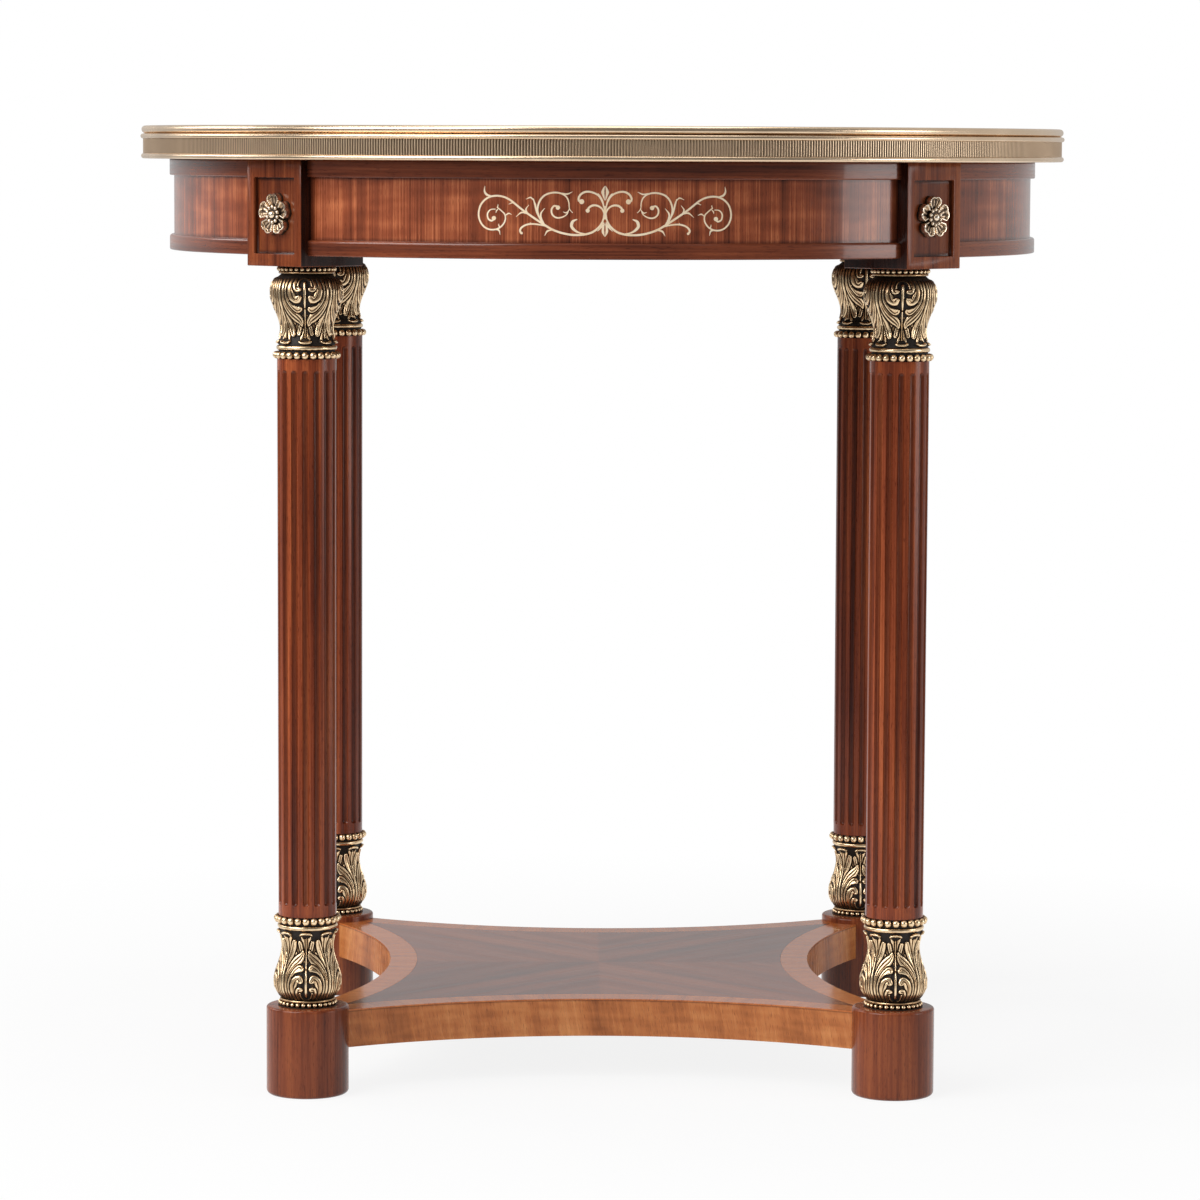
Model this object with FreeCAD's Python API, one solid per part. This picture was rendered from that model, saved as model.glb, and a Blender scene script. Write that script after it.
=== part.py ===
import FreeCAD, Part
import math
import os

from FreeCAD import Vector

# Round side table: a brass-edged round top on a round frieze, four fluted columns with brass
# capitals and bases, and a platform with concave edges between four round feet.
# Millimetres, +Z up, origin on the floor under the middle of the top, front towards -Y.

# Whole table
table_height = 713.5
table_diameter = 711.2
column_set_in = 49.0

# Brass rim: three half-round beads, the widest in the middle, and a flat band below it
rim_height = 25.0
rim_wall = 5.0
rim_upper_bead = 5.7
rim_upper_bead_set_in = 0.8
rim_groove = 0.4
rim_middle_bead = 3.7
rim_lower_bead = 4.0
rim_lower_bead_set_in = 0.4
rim_band_set_in = 1.9

# Top board and its veneers
top_veneer = 1.2
top_crossband_width = 42.0
rim_proud = 1.0

# Frieze
frieze_height = 69.2
frieze_set_in = 5.0
frieze_panel_set_in = 3.4
frieze_veneer = 1.0
rail_thickness = 22.0
upper_band_height = 12.5
lower_band_height = 11.7
band_ease = 0.9

# Corner blocks
block_width = 58.6
block_face_reach = 31.8
block_drop = 7.8
block_panel_width = 43.4
block_panel_top_margin = 12.9
block_panel_bottom_margin = 9.0
block_panel_depth = 3.5

# Rosettes
rosette_petals = 5
rosette_radius = 15.9
petal_radius = 6.4
petal_rim_height = 5.2
petal_rim_width = 1.2
petal_dish_height = 3.2
rosette_eye_radius = 3.0
rosette_eye_height = 8.0
rosette_bead_ring_radius = 1.2
rosette_stud_radius = 1.6
rosette_stud_length = 8.0

# Columns
column_top_radius = 21.7
column_bottom_radius = 21.4
flute_count = 16
flute_width = 4.9
flute_depth = 1.9
flute_end_margin = 8.0
spigot_radius = 13.0
spigot_depth = 24.0

# Brass castings: the base stands on its bulb, the capital is the same form upside down. From the
# bulb end: seat, small beads, collar, acanthus leaves over a bulb and a neck, plain ring, large beads
base_bulb_radius = 25.6
capital_bulb_radius = 27.4
casting_neck_radius = 19.3
casting_seat_height = 0.6
small_bead_radius = 1.65
small_bead_circle = 20.2
small_bead_count = 30
small_bead_sink = 0.2
collar_radius = 19.8
collar_height = 1.8
acanthus_height = 52.0
bulb_rise = 12.3
neck_drop = 12.9
leaf_foot_gap = 1.6
leaf_tip_gap = 2.1
leaf_tip_radius = 22.2
leaf_relief = 1.5
main_leaf_half_width = 15.2
side_leaf_half_width = 2.7
stem_half_width = 1.0
plain_ring_radius = 1.8
plain_ring_gap = 0.9
large_bead_radius = 2.7
large_bead_circle = 22.2
large_bead_count = 24
leaf_count = 4

# Feet
foot_radius = 30.4
foot_height = 66.0
foot_top_ease = 2.0
foot_bottom_ease = 3.2

# Platform
platform_drop = 4.8
platform_thickness = 28.2
platform_arm_width = 41.1
platform_edge_hollow = 45.95
platform_veneer = 1.0
platform_crossband_width = 21.0

# Scroll inlay on the front panel
inlay_line = 1.5
inlay_depth = 0.6
inlay_ball_radius = 1.7

# Dowels, cleats and screws
dowel_radius = 5.0
dowel_depth = 20.0
rail_dowel_spacing = 26.0
rail_dowel_margin = 17.0
platform_dowel_radius = 4.0
platform_dowel_reach = 15.0
platform_dowel_spacing = 18.0
cleat_depth = 22.0
cleat_height = 22.0
cleat_half_angle = 6.0
cleat_offset_angle = 20.0
screw_shank_radius = 2.2
screw_head_radius = 4.4
screw_head_height = 2.4
top_screw_bite = 13.0
long_screw_shank_radius = 3.0
long_screw_head_radius = 6.2
long_screw_head_height = 3.6
long_screw_bite = 30.0
counterbore_radius = 8.0
counterbore_depth = 20.0

# Clearances: glued curved faces, pieces slid over a spigot, screws in their holes
glue_line = 0.1
slip_fit = 0.15
screw_fit = 0.1

# Levels and radii that follow from the sizes above
rim_radius = table_diameter / 2
column_circle_radius = rim_radius - column_set_in
block_face = column_circle_radius + block_face_reach
rim_bottom = table_height - rim_height
rim_band_radius = rim_radius - rim_band_set_in
rim_inner_radius = rim_band_radius - rim_wall
top_face = table_height - rim_proud
frieze_top = rim_bottom
frieze_bottom = frieze_top - frieze_height
frieze_band_radius = block_face - frieze_set_in
panel_radius = frieze_band_radius - frieze_panel_set_in
rail_outer_radius = panel_radius - frieze_veneer
rail_inner_radius = rail_outer_radius - rail_thickness
panel_low = frieze_bottom + lower_band_height
panel_high = frieze_top - upper_band_height
block_bottom = frieze_bottom - block_drop
small_bead_top = casting_seat_height + 2 * small_bead_radius
collar_top = small_bead_top + collar_height
bulb_level = collar_top + bulb_rise
ring_bottom = collar_top + acanthus_height
neck_level = ring_bottom - neck_drop
leaf_foot_level = collar_top + leaf_foot_gap
leaf_tip_level = ring_bottom - leaf_tip_gap
ring_top = ring_bottom + 2 * plain_ring_radius
large_bead_bottom = ring_top + plain_ring_gap
casting_height = large_bead_bottom + 2 * large_bead_radius
base_top = foot_height + casting_height
capital_bottom = block_bottom - casting_height
platform_top = foot_height - platform_drop
platform_bottom = platform_top - platform_thickness

corner_angles = {"front_left": 225, "front_right": 315, "back_right": 45, "back_left": 135}
side_angles = {"front": 270, "right": 0, "back": 90, "left": 180}

up = Vector(0, 0, 1)
origin = Vector(0, 0, 0)
nodes = {}


def turned(shape, degrees):
    return shape.rotated(origin, up, degrees)


def profile_face(start, steps):
    # Outline in the radius and height plane: a pair is a line to that point, a pair of pairs is
    # an arc through the first to the second, and a list is a smooth curve through its points.
    def at(pair):
        return Vector(pair[0], 0, pair[1])

    edges = []
    here = at(start)
    for step in steps:
        if isinstance(step, list):
            end = at(step[-1])
            curve = Part.BSplineCurve()
            curve.interpolate([here] + [at(pair) for pair in step])
            edges.append(curve.toShape())
        elif isinstance(step[0], tuple):
            end = at(step[1])
            edges.append(Part.Arc(here, at(step[0]), end).toShape())
        else:
            end = at(step)
            edges.append(Part.LineSegment(here, end).toShape())
        here = end
    edges.append(Part.LineSegment(here, at(start)).toShape())
    return Part.Face(Part.Wire(edges))


def revolved(start, steps, sweep=360):
    return profile_face(start, steps).revolve(origin, up, sweep)


def ring(inner_radius, outer_radius, low, high, sweep=360):
    corners = [(outer_radius, low), (outer_radius, high), (inner_radius, high)]
    return revolved((inner_radius, low), corners, sweep)


def post(radius, low, high, x=0.0, y=0.0):
    return Part.makeCylinder(radius, high - low, Vector(x, y, low))


def box(x_low, x_high, y_low, y_high, z_low, z_high):
    return Part.makeBox(x_high - x_low, y_high - y_low, z_high - z_low, Vector(x_low, y_low, z_low))


def nearest_side(solid):
    centre = solid.CenterOfMass
    bearing = math.degrees(math.atan2(centre.y, centre.x))
    return min(side_angles, key=lambda side: abs((side_angles[side] - bearing + 180) % 360 - 180))


# Corner block before it is worked, also used to cut the rails, bands and panels to length
block_half = block_width / 2
block_back = column_circle_radius - block_half
block_blank = box(block_back, block_face, -block_half, block_half, block_bottom, frieze_top)
block_boxes = [turned(block_blank, angle) for angle in corner_angles.values()]


def between_blocks(full_ring):
    pieces = full_ring.cut(block_boxes).Solids
    return {nearest_side(piece): piece for piece in pieces}


# Brass rim
def bead_step(crest_radius, high, height):
    return ((crest_radius, high - height / 2), (crest_radius - height / 2, high - height))


upper_crest = rim_radius - rim_upper_bead_set_in
lower_crest = rim_radius - rim_lower_bead_set_in
middle_bead_top = table_height - rim_upper_bead - rim_groove
band_top = middle_bead_top - rim_middle_bead
lower_bead_top = rim_bottom + rim_lower_bead
nodes["rim_band"] = revolved(
    (rim_inner_radius, rim_bottom),
    [
        (rim_inner_radius, table_height),
        (upper_crest - rim_upper_bead / 2, table_height),
        bead_step(upper_crest, table_height, rim_upper_bead),
        (upper_crest - rim_upper_bead / 2, middle_bead_top),
        (rim_radius - rim_middle_bead / 2, middle_bead_top),
        bead_step(rim_radius, middle_bead_top, rim_middle_bead),
        (rim_band_radius, band_top),
        (rim_band_radius, lower_bead_top),
        (lower_crest - rim_lower_bead / 2, lower_bead_top),
        bead_step(lower_crest, lower_bead_top, rim_lower_bead),
    ])

# Top board, with a quartered field and a crossband laid on it
top_radius = rim_inner_radius - glue_line
top_field_radius = top_radius - top_crossband_width
top_core = post(top_radius, rim_bottom, top_face - top_veneer)
top_quarter = ring(0, top_field_radius, top_face - top_veneer, top_face, 90)
nodes["top_field_veneer"] = Part.makeCompound([turned(top_quarter, 90 * k) for k in range(4)])
nodes["top_crossband"] = ring(top_field_radius + glue_line, top_radius, top_face - top_veneer, top_face)


# Frieze rails, panel veneers and the eased bands above and below them
def eased_band(low, high):
    nose = band_ease * (1 - math.sqrt(0.5))
    inner = rail_outer_radius + glue_line
    outer = frieze_band_radius
    return revolved(
        (inner, low),
        [
            (outer - band_ease, low),
            ((outer - nose, low + nose), (outer, low + band_ease)),
            (outer, high - band_ease),
            ((outer - nose, high - nose), (outer - band_ease, high)),
            (inner, high),
        ])


rails = between_blocks(ring(rail_inner_radius, rail_outer_radius, frieze_bottom, frieze_top))
panels = between_blocks(ring(rail_outer_radius + glue_line, panel_radius, panel_low, panel_high))
upper_bands = between_blocks(eased_band(panel_high, frieze_top))
lower_bands = between_blocks(eased_band(frieze_bottom, panel_low))

# Dowels that join each rail end to a corner block, modelled along the radius through the column
rail_middle_radius = (rail_inner_radius + rail_outer_radius) / 2
rail_dowel_x = math.sqrt(rail_middle_radius ** 2 - (block_width / 2) ** 2)
rail_dowel_levels = [frieze_top - rail_dowel_margin, frieze_top - rail_dowel_margin - rail_dowel_spacing]


def rail_dowels(radius):
    dowels = []
    for side in (-1, 1):
        for level in rail_dowel_levels:
            start = Vector(rail_dowel_x, side * (block_width / 2 - dowel_depth), level)
            dowels.append(Part.makeCylinder(radius, 2 * dowel_depth, start, Vector(0, side, 0)))
    return dowels


corner_dowels = rail_dowels(dowel_radius - glue_line)
corner_dowel_holes = rail_dowels(dowel_radius)
all_dowels = [turned(dowel, angle) for angle in corner_angles.values() for dowel in corner_dowels]
all_dowel_holes = [turned(hole, angle) for angle in corner_angles.values() for hole in corner_dowel_holes]
nodes["rail_dowels"] = Part.makeCompound(all_dowels)

for side in side_angles:
    nodes["rail_" + side] = rails[side].cut(all_dowel_holes)
    nodes["upper_band_" + side] = upper_bands[side]
    nodes["lower_band_" + side] = lower_bands[side]


# Screws: a domed head under the seat level and a plain shank with a point, along +Z
def screw(seat, shank_radius, head_radius, head_height, length):
    point = shank_radius * 2
    return revolved(
        (0, seat - head_height),
        [
            ((head_radius * 0.8, seat - head_height * 0.7), (head_radius, seat)),
            (shank_radius, seat),
            (shank_radius, seat + length - point),
            (0, seat + length),
        ])


# Cleats inside the rails, two to a rail, each with a screw up into the top board
cleat_bottom = frieze_top - cleat_height
cleat_outer_radius = rail_inner_radius - glue_line
cleat_inner_radius = cleat_outer_radius - cleat_depth
cleat_radius = (cleat_inner_radius + cleat_outer_radius) / 2
cleat_arc = ring(cleat_inner_radius, cleat_outer_radius, cleat_bottom, frieze_top, 2 * cleat_half_angle)
cleat_blank = turned(cleat_arc, -cleat_half_angle)
cleat_hole = post(screw_shank_radius + screw_fit, cleat_bottom, frieze_top, cleat_radius)
cleat = cleat_blank.cut(cleat_hole)
top_screw = screw(cleat_bottom, screw_shank_radius, screw_head_radius, screw_head_height,
                  cleat_height + top_screw_bite)
top_screw.translate(Vector(cleat_radius, 0, 0))
pilot = post(screw_shank_radius + screw_fit, frieze_top, frieze_top + top_screw_bite, cleat_radius)
cleat_angles = [angle + side * cleat_offset_angle for angle in side_angles.values() for side in (-1, 1)]
nodes["top_cleats"] = Part.makeCompound([turned(cleat, angle) for angle in cleat_angles])
nodes["top_screws"] = Part.makeCompound([turned(top_screw, angle) for angle in cleat_angles])
nodes["top_core"] = top_core.cut([turned(pilot, angle) for angle in cleat_angles])

# Corner block: sunk panel on the outer face, sockets for the spigot, screw, dowels and rosette
panel_floor = block_face - block_panel_depth
block_panel_half = block_panel_width / 2
block_panel_low = block_bottom + block_panel_bottom_margin
block_panel_high = frieze_top - block_panel_top_margin
rosette_level = (block_panel_low + block_panel_high) / 2
spigot_top = block_bottom + spigot_depth
block_screw_seat = frieze_top - counterbore_depth
long_shank_hole = long_screw_shank_radius + screw_fit
rosette_hole = Part.makeCylinder(
    rosette_stud_radius + glue_line, rosette_stud_length + glue_line,
    Vector(panel_floor - rosette_stud_length - glue_line, 0, rosette_level), Vector(1, 0, 0))
corner_block = block_blank.cut([
    box(panel_floor, block_face, -block_panel_half, block_panel_half, block_panel_low, block_panel_high),
    post(spigot_radius + slip_fit, block_bottom, spigot_top, column_circle_radius),
    post(long_shank_hole, spigot_top, block_screw_seat, column_circle_radius),
    post(counterbore_radius, block_screw_seat, frieze_top, column_circle_radius),
    rosette_hole,
] + corner_dowel_holes)

# Rosette, first lying flat: dished petals with rolled rims round a bead ring and a domed eye
petal_circle = rosette_radius - petal_radius
rim_crest = petal_radius - petal_rim_width
dish_side_height = (petal_dish_height + petal_rim_height - petal_rim_width) / 2
petal = revolved(
    (0, 0),
    [
        (rim_crest, 0),
        ((petal_radius, petal_rim_height / 2), (rim_crest, petal_rim_height)),
        ((rim_crest / 2, dish_side_height), (0, petal_dish_height)),
    ])
petal.translate(Vector(petal_circle, 0, 0))
eye_dome = rosette_eye_height - petal_rim_height
eye = revolved(
    (0, 0),
    [
        (rosette_eye_radius, 0),
        (rosette_eye_radius, petal_rim_height),
        ((rosette_eye_radius * 0.75, petal_rim_height + eye_dome * 0.66), (0, rosette_eye_height)),
    ])
eye_ring_circle = rosette_eye_radius + rosette_bead_ring_radius
eye_ring = Part.makeTorus(eye_ring_circle, rosette_bead_ring_radius, Vector(0, 0, petal_rim_height))
ring_support = post(eye_ring_circle, 0, petal_rim_height)
stud = post(rosette_stud_radius, -rosette_stud_length, 0)
petals = [turned(petal, 360 / rosette_petals * k) for k in range(rosette_petals)]
rosette = stud.fuse(petals + [ring_support, eye_ring, eye]).removeSplitter()
# The first petal points straight up once the rosette stands on the block's outer face
rosette.rotate(origin, Vector(0, 1, 0), 90)
rosette.rotate(origin, Vector(1, 0, 0), 180)
rosette.translate(Vector(panel_floor, 0, rosette_level))


# Fluted column with a spigot at each end
spigot_bottom = foot_height - spigot_depth
column_blank = revolved(
    (0, spigot_bottom),
    [
        (spigot_radius, spigot_bottom),
        (spigot_radius, base_top),
        (column_bottom_radius, base_top),
        (column_top_radius, capital_bottom),
        (spigot_radius, capital_bottom),
        (spigot_radius, spigot_top),
        (0, spigot_top),
    ])
flute_cutter_radius = (flute_width ** 2 / 4 + flute_depth ** 2) / (2 * flute_depth)
flute_low = base_top + flute_end_margin + flute_cutter_radius
flute_high = capital_bottom - flute_end_margin - flute_cutter_radius


def flute_axis(level):
    share = (level - base_top) / (capital_bottom - base_top)
    surface = column_bottom_radius + share * (column_top_radius - column_bottom_radius)
    return Vector(0, -(surface - flute_depth + flute_cutter_radius), level)


flute_start = flute_axis(flute_low)
flute_end = flute_axis(flute_high)
flute_run = flute_end - flute_start
flute = Part.makeCylinder(flute_cutter_radius, flute_run.Length, flute_start, flute_run)
flute = flute.fuse([Part.makeSphere(flute_cutter_radius, end) for end in (flute_start, flute_end)])
flutes = [turned(flute, 360 / flute_count * k) for k in range(flute_count)]
pilots = [
    post(long_shank_hole, spigot_bottom, spigot_bottom + long_screw_bite),
    post(long_shank_hole, spigot_top - long_screw_bite, spigot_top),
]
column = column_blank.cut(flutes + pilots)
column.translate(Vector(column_circle_radius, 0, 0))


# Acanthus casting, bulb end at zero height, shaft end at the casting's height
def leaf_blank(bulb_radius):
    core = (casting_neck_radius + spigot_radius) / 2
    middle_level = (bulb_level + neck_level) / 2
    middle_radius = (bulb_radius + casting_neck_radius) / 2
    return revolved(
        (core, leaf_foot_level),
        [
            (collar_radius + leaf_relief, leaf_foot_level),
            [
                (bulb_radius, bulb_level),
                (middle_radius, middle_level),
                (casting_neck_radius, neck_level),
                (leaf_tip_radius, leaf_tip_level),
            ],
            (core, leaf_tip_level),
        ])


def leaf_outline(half_points):
    # Lobed leaf outline seen from outside, from its foot to its tip, mirrored about the midrib
    edges = []
    for mirror in (1, -1):
        here = Vector(0, mirror * half_points[0][0], half_points[0][1])
        for lobe, notch in zip(half_points[1::2], half_points[2::2]):
            through = Vector(0, mirror * lobe[0], lobe[1])
            end = Vector(0, mirror * notch[0], notch[1])
            edges.append(Part.Arc(here, through, end).toShape())
            here = end
    foot_width, foot_level = half_points[0]
    foot = Part.LineSegment(Vector(0, foot_width, foot_level), Vector(0, -foot_width, foot_level))
    face = Part.Face(Part.Wire(Part.__sortEdges__(edges + [foot.toShape()])))
    return face.extrude(Vector(2 * capital_bulb_radius, 0, 0))


leaf_length = leaf_tip_level - leaf_foot_level


def along(share):
    return leaf_foot_level + share * leaf_length


# Pairs of half width and level: foot, then a lobe and a notch in turn, up to the tip
main_leaf_points = [
    (main_leaf_half_width * 0.60, along(0.0)),
    (main_leaf_half_width * 0.96, along(0.13)),
    (main_leaf_half_width * 0.80, along(0.23)),
    (main_leaf_half_width, along(0.34)),
    (main_leaf_half_width * 0.72, along(0.44)),
    (main_leaf_half_width * 0.80, along(0.56)),
    (main_leaf_half_width * 0.44, along(0.67)),
    (main_leaf_half_width * 0.50, along(0.78)),
    (main_leaf_half_width * 0.20, along(0.84)),
    (main_leaf_half_width * 0.25, along(0.94)),
    (0.0, along(1.0)),
]
side_leaf_points = [
    (stem_half_width, along(0.08)),
    (stem_half_width * 0.9, along(0.3)),
    (stem_half_width, along(0.52)),
    (side_leaf_half_width, along(0.66)),
    (side_leaf_half_width * 0.6, along(0.8)),
    (side_leaf_half_width * 0.9, along(0.94)),
    (0.0, along(1.0)),
]


def bead_circle(count, circle, radius, level):
    bead = Part.makeSphere(radius, Vector(circle, 0, level))
    return [turned(bead, 360 / count * k) for k in range(count)]


small_beads = bead_circle(small_bead_count, small_bead_circle, small_bead_radius,
                          casting_seat_height + small_bead_radius - small_bead_sink)
large_beads = bead_circle(large_bead_count, large_bead_circle, large_bead_radius,
                          casting_height - large_bead_radius)


def casting(bulb_radius):
    seat_radius = small_bead_circle + small_bead_radius
    small_bead_bed = small_bead_circle - small_bead_radius / 2
    ring_root = leaf_tip_radius - plain_ring_radius
    bore = spigot_radius + slip_fit
    bell_bulb = bulb_radius - leaf_relief
    bell_neck = casting_neck_radius - leaf_relief
    body = revolved(
        (bore, 0),
        [
            (seat_radius, 0),
            (seat_radius, casting_seat_height),
            (small_bead_bed, casting_seat_height),
            (small_bead_bed, small_bead_top),
            (collar_radius, small_bead_top),
            (collar_radius, collar_top),
            [
                (bell_bulb, bulb_level),
                ((bell_bulb + bell_neck) / 2, (bulb_level + neck_level) / 2),
                (bell_neck, neck_level),
                (ring_root, ring_bottom),
            ],
            ((leaf_tip_radius, (ring_bottom + ring_top) / 2), (ring_root, ring_top)),
            (ring_root, casting_height),
            (bore, casting_height),
        ])
    blank = leaf_blank(bulb_radius)
    main_leaf = blank.common(leaf_outline(main_leaf_points))
    side_leaf = blank.common(leaf_outline(side_leaf_points))
    spacing = 360 / leaf_count
    leaves = [turned(main_leaf, spacing * k) for k in range(leaf_count)]
    leaves += [turned(side_leaf, spacing * (k + 0.5)) for k in range(leaf_count)]
    return body.fuse(leaves + small_beads + large_beads)


base = casting(base_bulb_radius)
base.translate(Vector(column_circle_radius, 0, foot_height))
capital = casting(capital_bulb_radius)
capital.rotate(origin, Vector(1, 0, 0), 180)
capital.translate(Vector(column_circle_radius, 0, block_bottom))


# Round foot with eased edges, a socket above and a counterbored screw hole below
def eased_foot():
    top_nose = foot_top_ease * (1 - math.sqrt(0.5))
    bottom_nose = foot_bottom_ease * (1 - math.sqrt(0.5))
    return revolved(
        (0, 0),
        [
            (foot_radius - foot_bottom_ease, 0),
            ((foot_radius - bottom_nose, bottom_nose), (foot_radius, foot_bottom_ease)),
            (foot_radius, foot_height - foot_top_ease),
            ((foot_radius - top_nose, foot_height - top_nose), (foot_radius - foot_top_ease, foot_height)),
            (0, foot_height),
        ])


# Platform dowels, two to a foot, along the radius through the column
platform_joint = column_circle_radius - foot_radius
platform_dowel_level = (platform_top + platform_bottom) / 2


def platform_dowels(radius):
    dowels = []
    for side in (-1, 1):
        offset = side * platform_dowel_spacing / 2
        start = Vector(platform_joint - platform_dowel_reach, offset, platform_dowel_level)
        dowels.append(Part.makeCylinder(radius, 2 * platform_dowel_reach, start, Vector(1, 0, 0)))
    return dowels


platform_holes = platform_dowels(platform_dowel_radius)
foot = eased_foot()
foot.translate(Vector(column_circle_radius, 0, 0))
foot = foot.cut([
    post(spigot_radius + slip_fit, spigot_bottom, foot_height, column_circle_radius),
    post(long_shank_hole, counterbore_depth, spigot_bottom, column_circle_radius),
    post(counterbore_radius, 0, counterbore_depth, column_circle_radius),
] + platform_holes)

# Long screws: up through the foot, and down through the corner block, into the spigots
def long_screw(seat, length):
    return screw(seat, long_screw_shank_radius, long_screw_head_radius, long_screw_head_height, length)


foot_screw_length = spigot_bottom - counterbore_depth + long_screw_bite
foot_screw = long_screw(counterbore_depth, foot_screw_length)
foot_screw.translate(Vector(column_circle_radius, 0, 0))
block_screw_length = block_screw_seat - spigot_top + long_screw_bite
block_screw = long_screw(0, block_screw_length)
block_screw.rotate(origin, Vector(1, 0, 0), 180)
block_screw.translate(Vector(column_circle_radius, 0, block_screw_seat))

corner_pieces = {
    "corner_block": corner_block,
    "rosette": rosette,
    "column": column,
    "capital": capital,
    "base": base,
    "foot": foot,
}
for corner, angle in corner_angles.items():
    for name, piece in corner_pieces.items():
        nodes[name + "_" + corner] = turned(piece, angle)

corner_groups = {
    "foot_screws": [foot_screw],
    "block_screws": [block_screw],
    "platform_dowels": platform_dowels(platform_dowel_radius - glue_line),
}
for name, pieces in corner_groups.items():
    copies = [turned(piece, angle) for angle in corner_angles.values() for piece in pieces]
    nodes[name] = Part.makeCompound(copies)

# Platform: a board with four concave edges that runs out in an arm to each foot. Each edge is an
# arc through the sides of two arms where they meet the feet, hollowed in the middle
arm_end_along = (platform_joint - platform_arm_width / 2) / math.sqrt(2)
arm_end_out = (platform_joint + platform_arm_width / 2) / math.sqrt(2)
platform_edge_radius = (arm_end_along ** 2 + platform_edge_hollow ** 2) / (2 * platform_edge_hollow)
edge_centre = arm_end_out - platform_edge_hollow + platform_edge_radius
edge_centres = [(0, -edge_centre), (edge_centre, 0), (0, edge_centre), (-edge_centre, 0)]
foot_sockets = [
    turned(post(foot_radius + glue_line, 0, foot_height, column_circle_radius), angle)
    for angle in corner_angles.values()
]


def edge_cutters(set_in):
    return [post(platform_edge_radius + set_in, 0, foot_height, x, y) for x, y in edge_centres]


def platform_layer(low, high, set_in):
    return post(column_circle_radius, low, high).cut(edge_cutters(set_in) + foot_sockets)


veneer_low = platform_top - platform_veneer
all_platform_holes = [turned(hole, angle) for angle in corner_angles.values() for hole in platform_holes]
platform_board = platform_layer(platform_bottom, veneer_low, platform_veneer)
nodes["platform_core"] = platform_board.cut(all_platform_holes)
edge_full = platform_layer(platform_bottom, veneer_low, 0)
edge_inner = platform_layer(platform_bottom, veneer_low, platform_veneer - glue_line)
nodes["platform_edge_veneer"] = Part.makeCompound(edge_full.cut(edge_inner).Solids)

# Veneers on the platform: a crossband mitred on the diagonals, and a field in four quarters
half = column_circle_radius
diagonal_wedge = Part.Face(Part.makePolygon([
    Vector(0, 0, veneer_low), Vector(-half, -half, veneer_low), Vector(half, -half, veneer_low),
    Vector(0, 0, veneer_low)])).extrude(Vector(0, 0, platform_veneer))
top_layer = platform_layer(veneer_low, platform_top, 0)
field_layer = platform_layer(veneer_low, platform_top, platform_crossband_width)
inside_crossband = platform_layer(veneer_low, platform_top, platform_crossband_width - glue_line)
crossband_front = top_layer.cut(inside_crossband).common(diagonal_wedge)
nodes["platform_crossband"] = Part.makeCompound([turned(crossband_front, 90 * k) for k in range(4)])
field_quarter = field_layer.common(box(0, half, 0, half, veneer_low, platform_top))
nodes["platform_field_veneer"] = Part.makeCompound([turned(field_quarter, 90 * k) for k in range(4)])


# Front inlay, drawn in the X and Z plane about the panel's middle and let into the panel
def disc(x, z, radius):
    return Part.Face(Part.Wire(Part.Circle(Vector(x, 0, z), Vector(0, 1, 0), radius).toShape()))


def heading_step(degrees, length):
    return Vector(length * math.cos(math.radians(degrees)), 0, length * math.sin(math.radians(degrees)))


def scroll(start, heading, steps, ball):
    # A line of even width that runs on in tangent arcs, each a radius and a turn in degrees:
    # a positive turn is to the left, a turn of zero is a straight run. The end may carry a ball.
    faces = []
    here = Vector(start[0], 0, start[1])
    half_line = inlay_line / 2
    for radius, turn in steps:
        across = heading_step(heading + 90, half_line)
        if turn == 0:
            run = heading_step(heading, radius)
            corners = [here + across, here + across + run, here - across + run, here - across]
            faces.append(Part.Face(Part.makePolygon(corners + corners[:1])))
            here = here + run
            continue
        side = 1 if turn > 0 else -1
        centre = here + heading_step(heading + 90 * side, radius)
        across_line = Part.LineSegment(here + across, here - across).toShape()
        faces.append(across_line.revolve(centre, Vector(0, -1, 0), turn))
        here = centre + heading_step(heading + turn - 90 * side, radius)
        heading = heading + turn
    if ball:
        faces.append(disc(here.x, here.z, ball))
    return faces


def bud(low, high, half_width):
    foot, tip = Vector(0, 0, low), Vector(0, 0, high)
    middle = (low + high) / 2
    sides = [Part.Arc(foot, Vector(side * half_width, 0, middle), tip).toShape() for side in (-1, 1)]
    return Part.Face(Part.Wire(Part.__sortEdges__(sides)))


right_scrolls = (
    scroll((0.6, 2.0), 75, [(16.0, -40), (8.0, -60), (4.6, -100)], inlay_ball_radius)
    + scroll((0.6, -1.2), 75, [(8.0, -75), (4.2, -75)], inlay_ball_radius)
    + scroll((0.6, -3.7), -85, [(14.2, 85), (53.0, 34), (24.0, 0), (22.0, -34), (13.0, -90), (11.0, -90),
                                (8.5, -90), (6.5, -90), (4.8, -90), (3.3, -90)], inlay_ball_radius)
    + scroll((42.5, -9.0), 50, [(17.0, 45), (11.5, 85), (9.5, 90), (7.3, 90), (5.0, 90), (3.6, 90)],
             inlay_ball_radius)
    + scroll((14.8, -16.7), 10, [(8.2, 115)], 0)
)
spindle_half, spindle_low, spindle_high = inlay_line * 0.6, -5.0, 3.0
spindle = Part.Face(Part.makePolygon([
    Vector(-spindle_half, 0, spindle_low), Vector(spindle_half, 0, spindle_low),
    Vector(spindle_half, 0, spindle_high), Vector(-spindle_half, 0, spindle_high),
    Vector(-spindle_half, 0, spindle_low)]))
design = right_scrolls + [face.mirror(origin, Vector(1, 0, 0)) for face in right_scrolls]
design += [spindle, bud(6.0, 17.8, 2.3), bud(-17.8, -10.0, 2.2)]
inlay_level = (panel_low + panel_high) / 2
prisms = [face.extrude(Vector(0, -panel_radius, 0)) for face in design]
for prism in prisms:
    prism.translate(Vector(0, 0, inlay_level))
inlay_shell = ring(panel_radius - inlay_depth, panel_radius, panel_low, panel_high)
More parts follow.
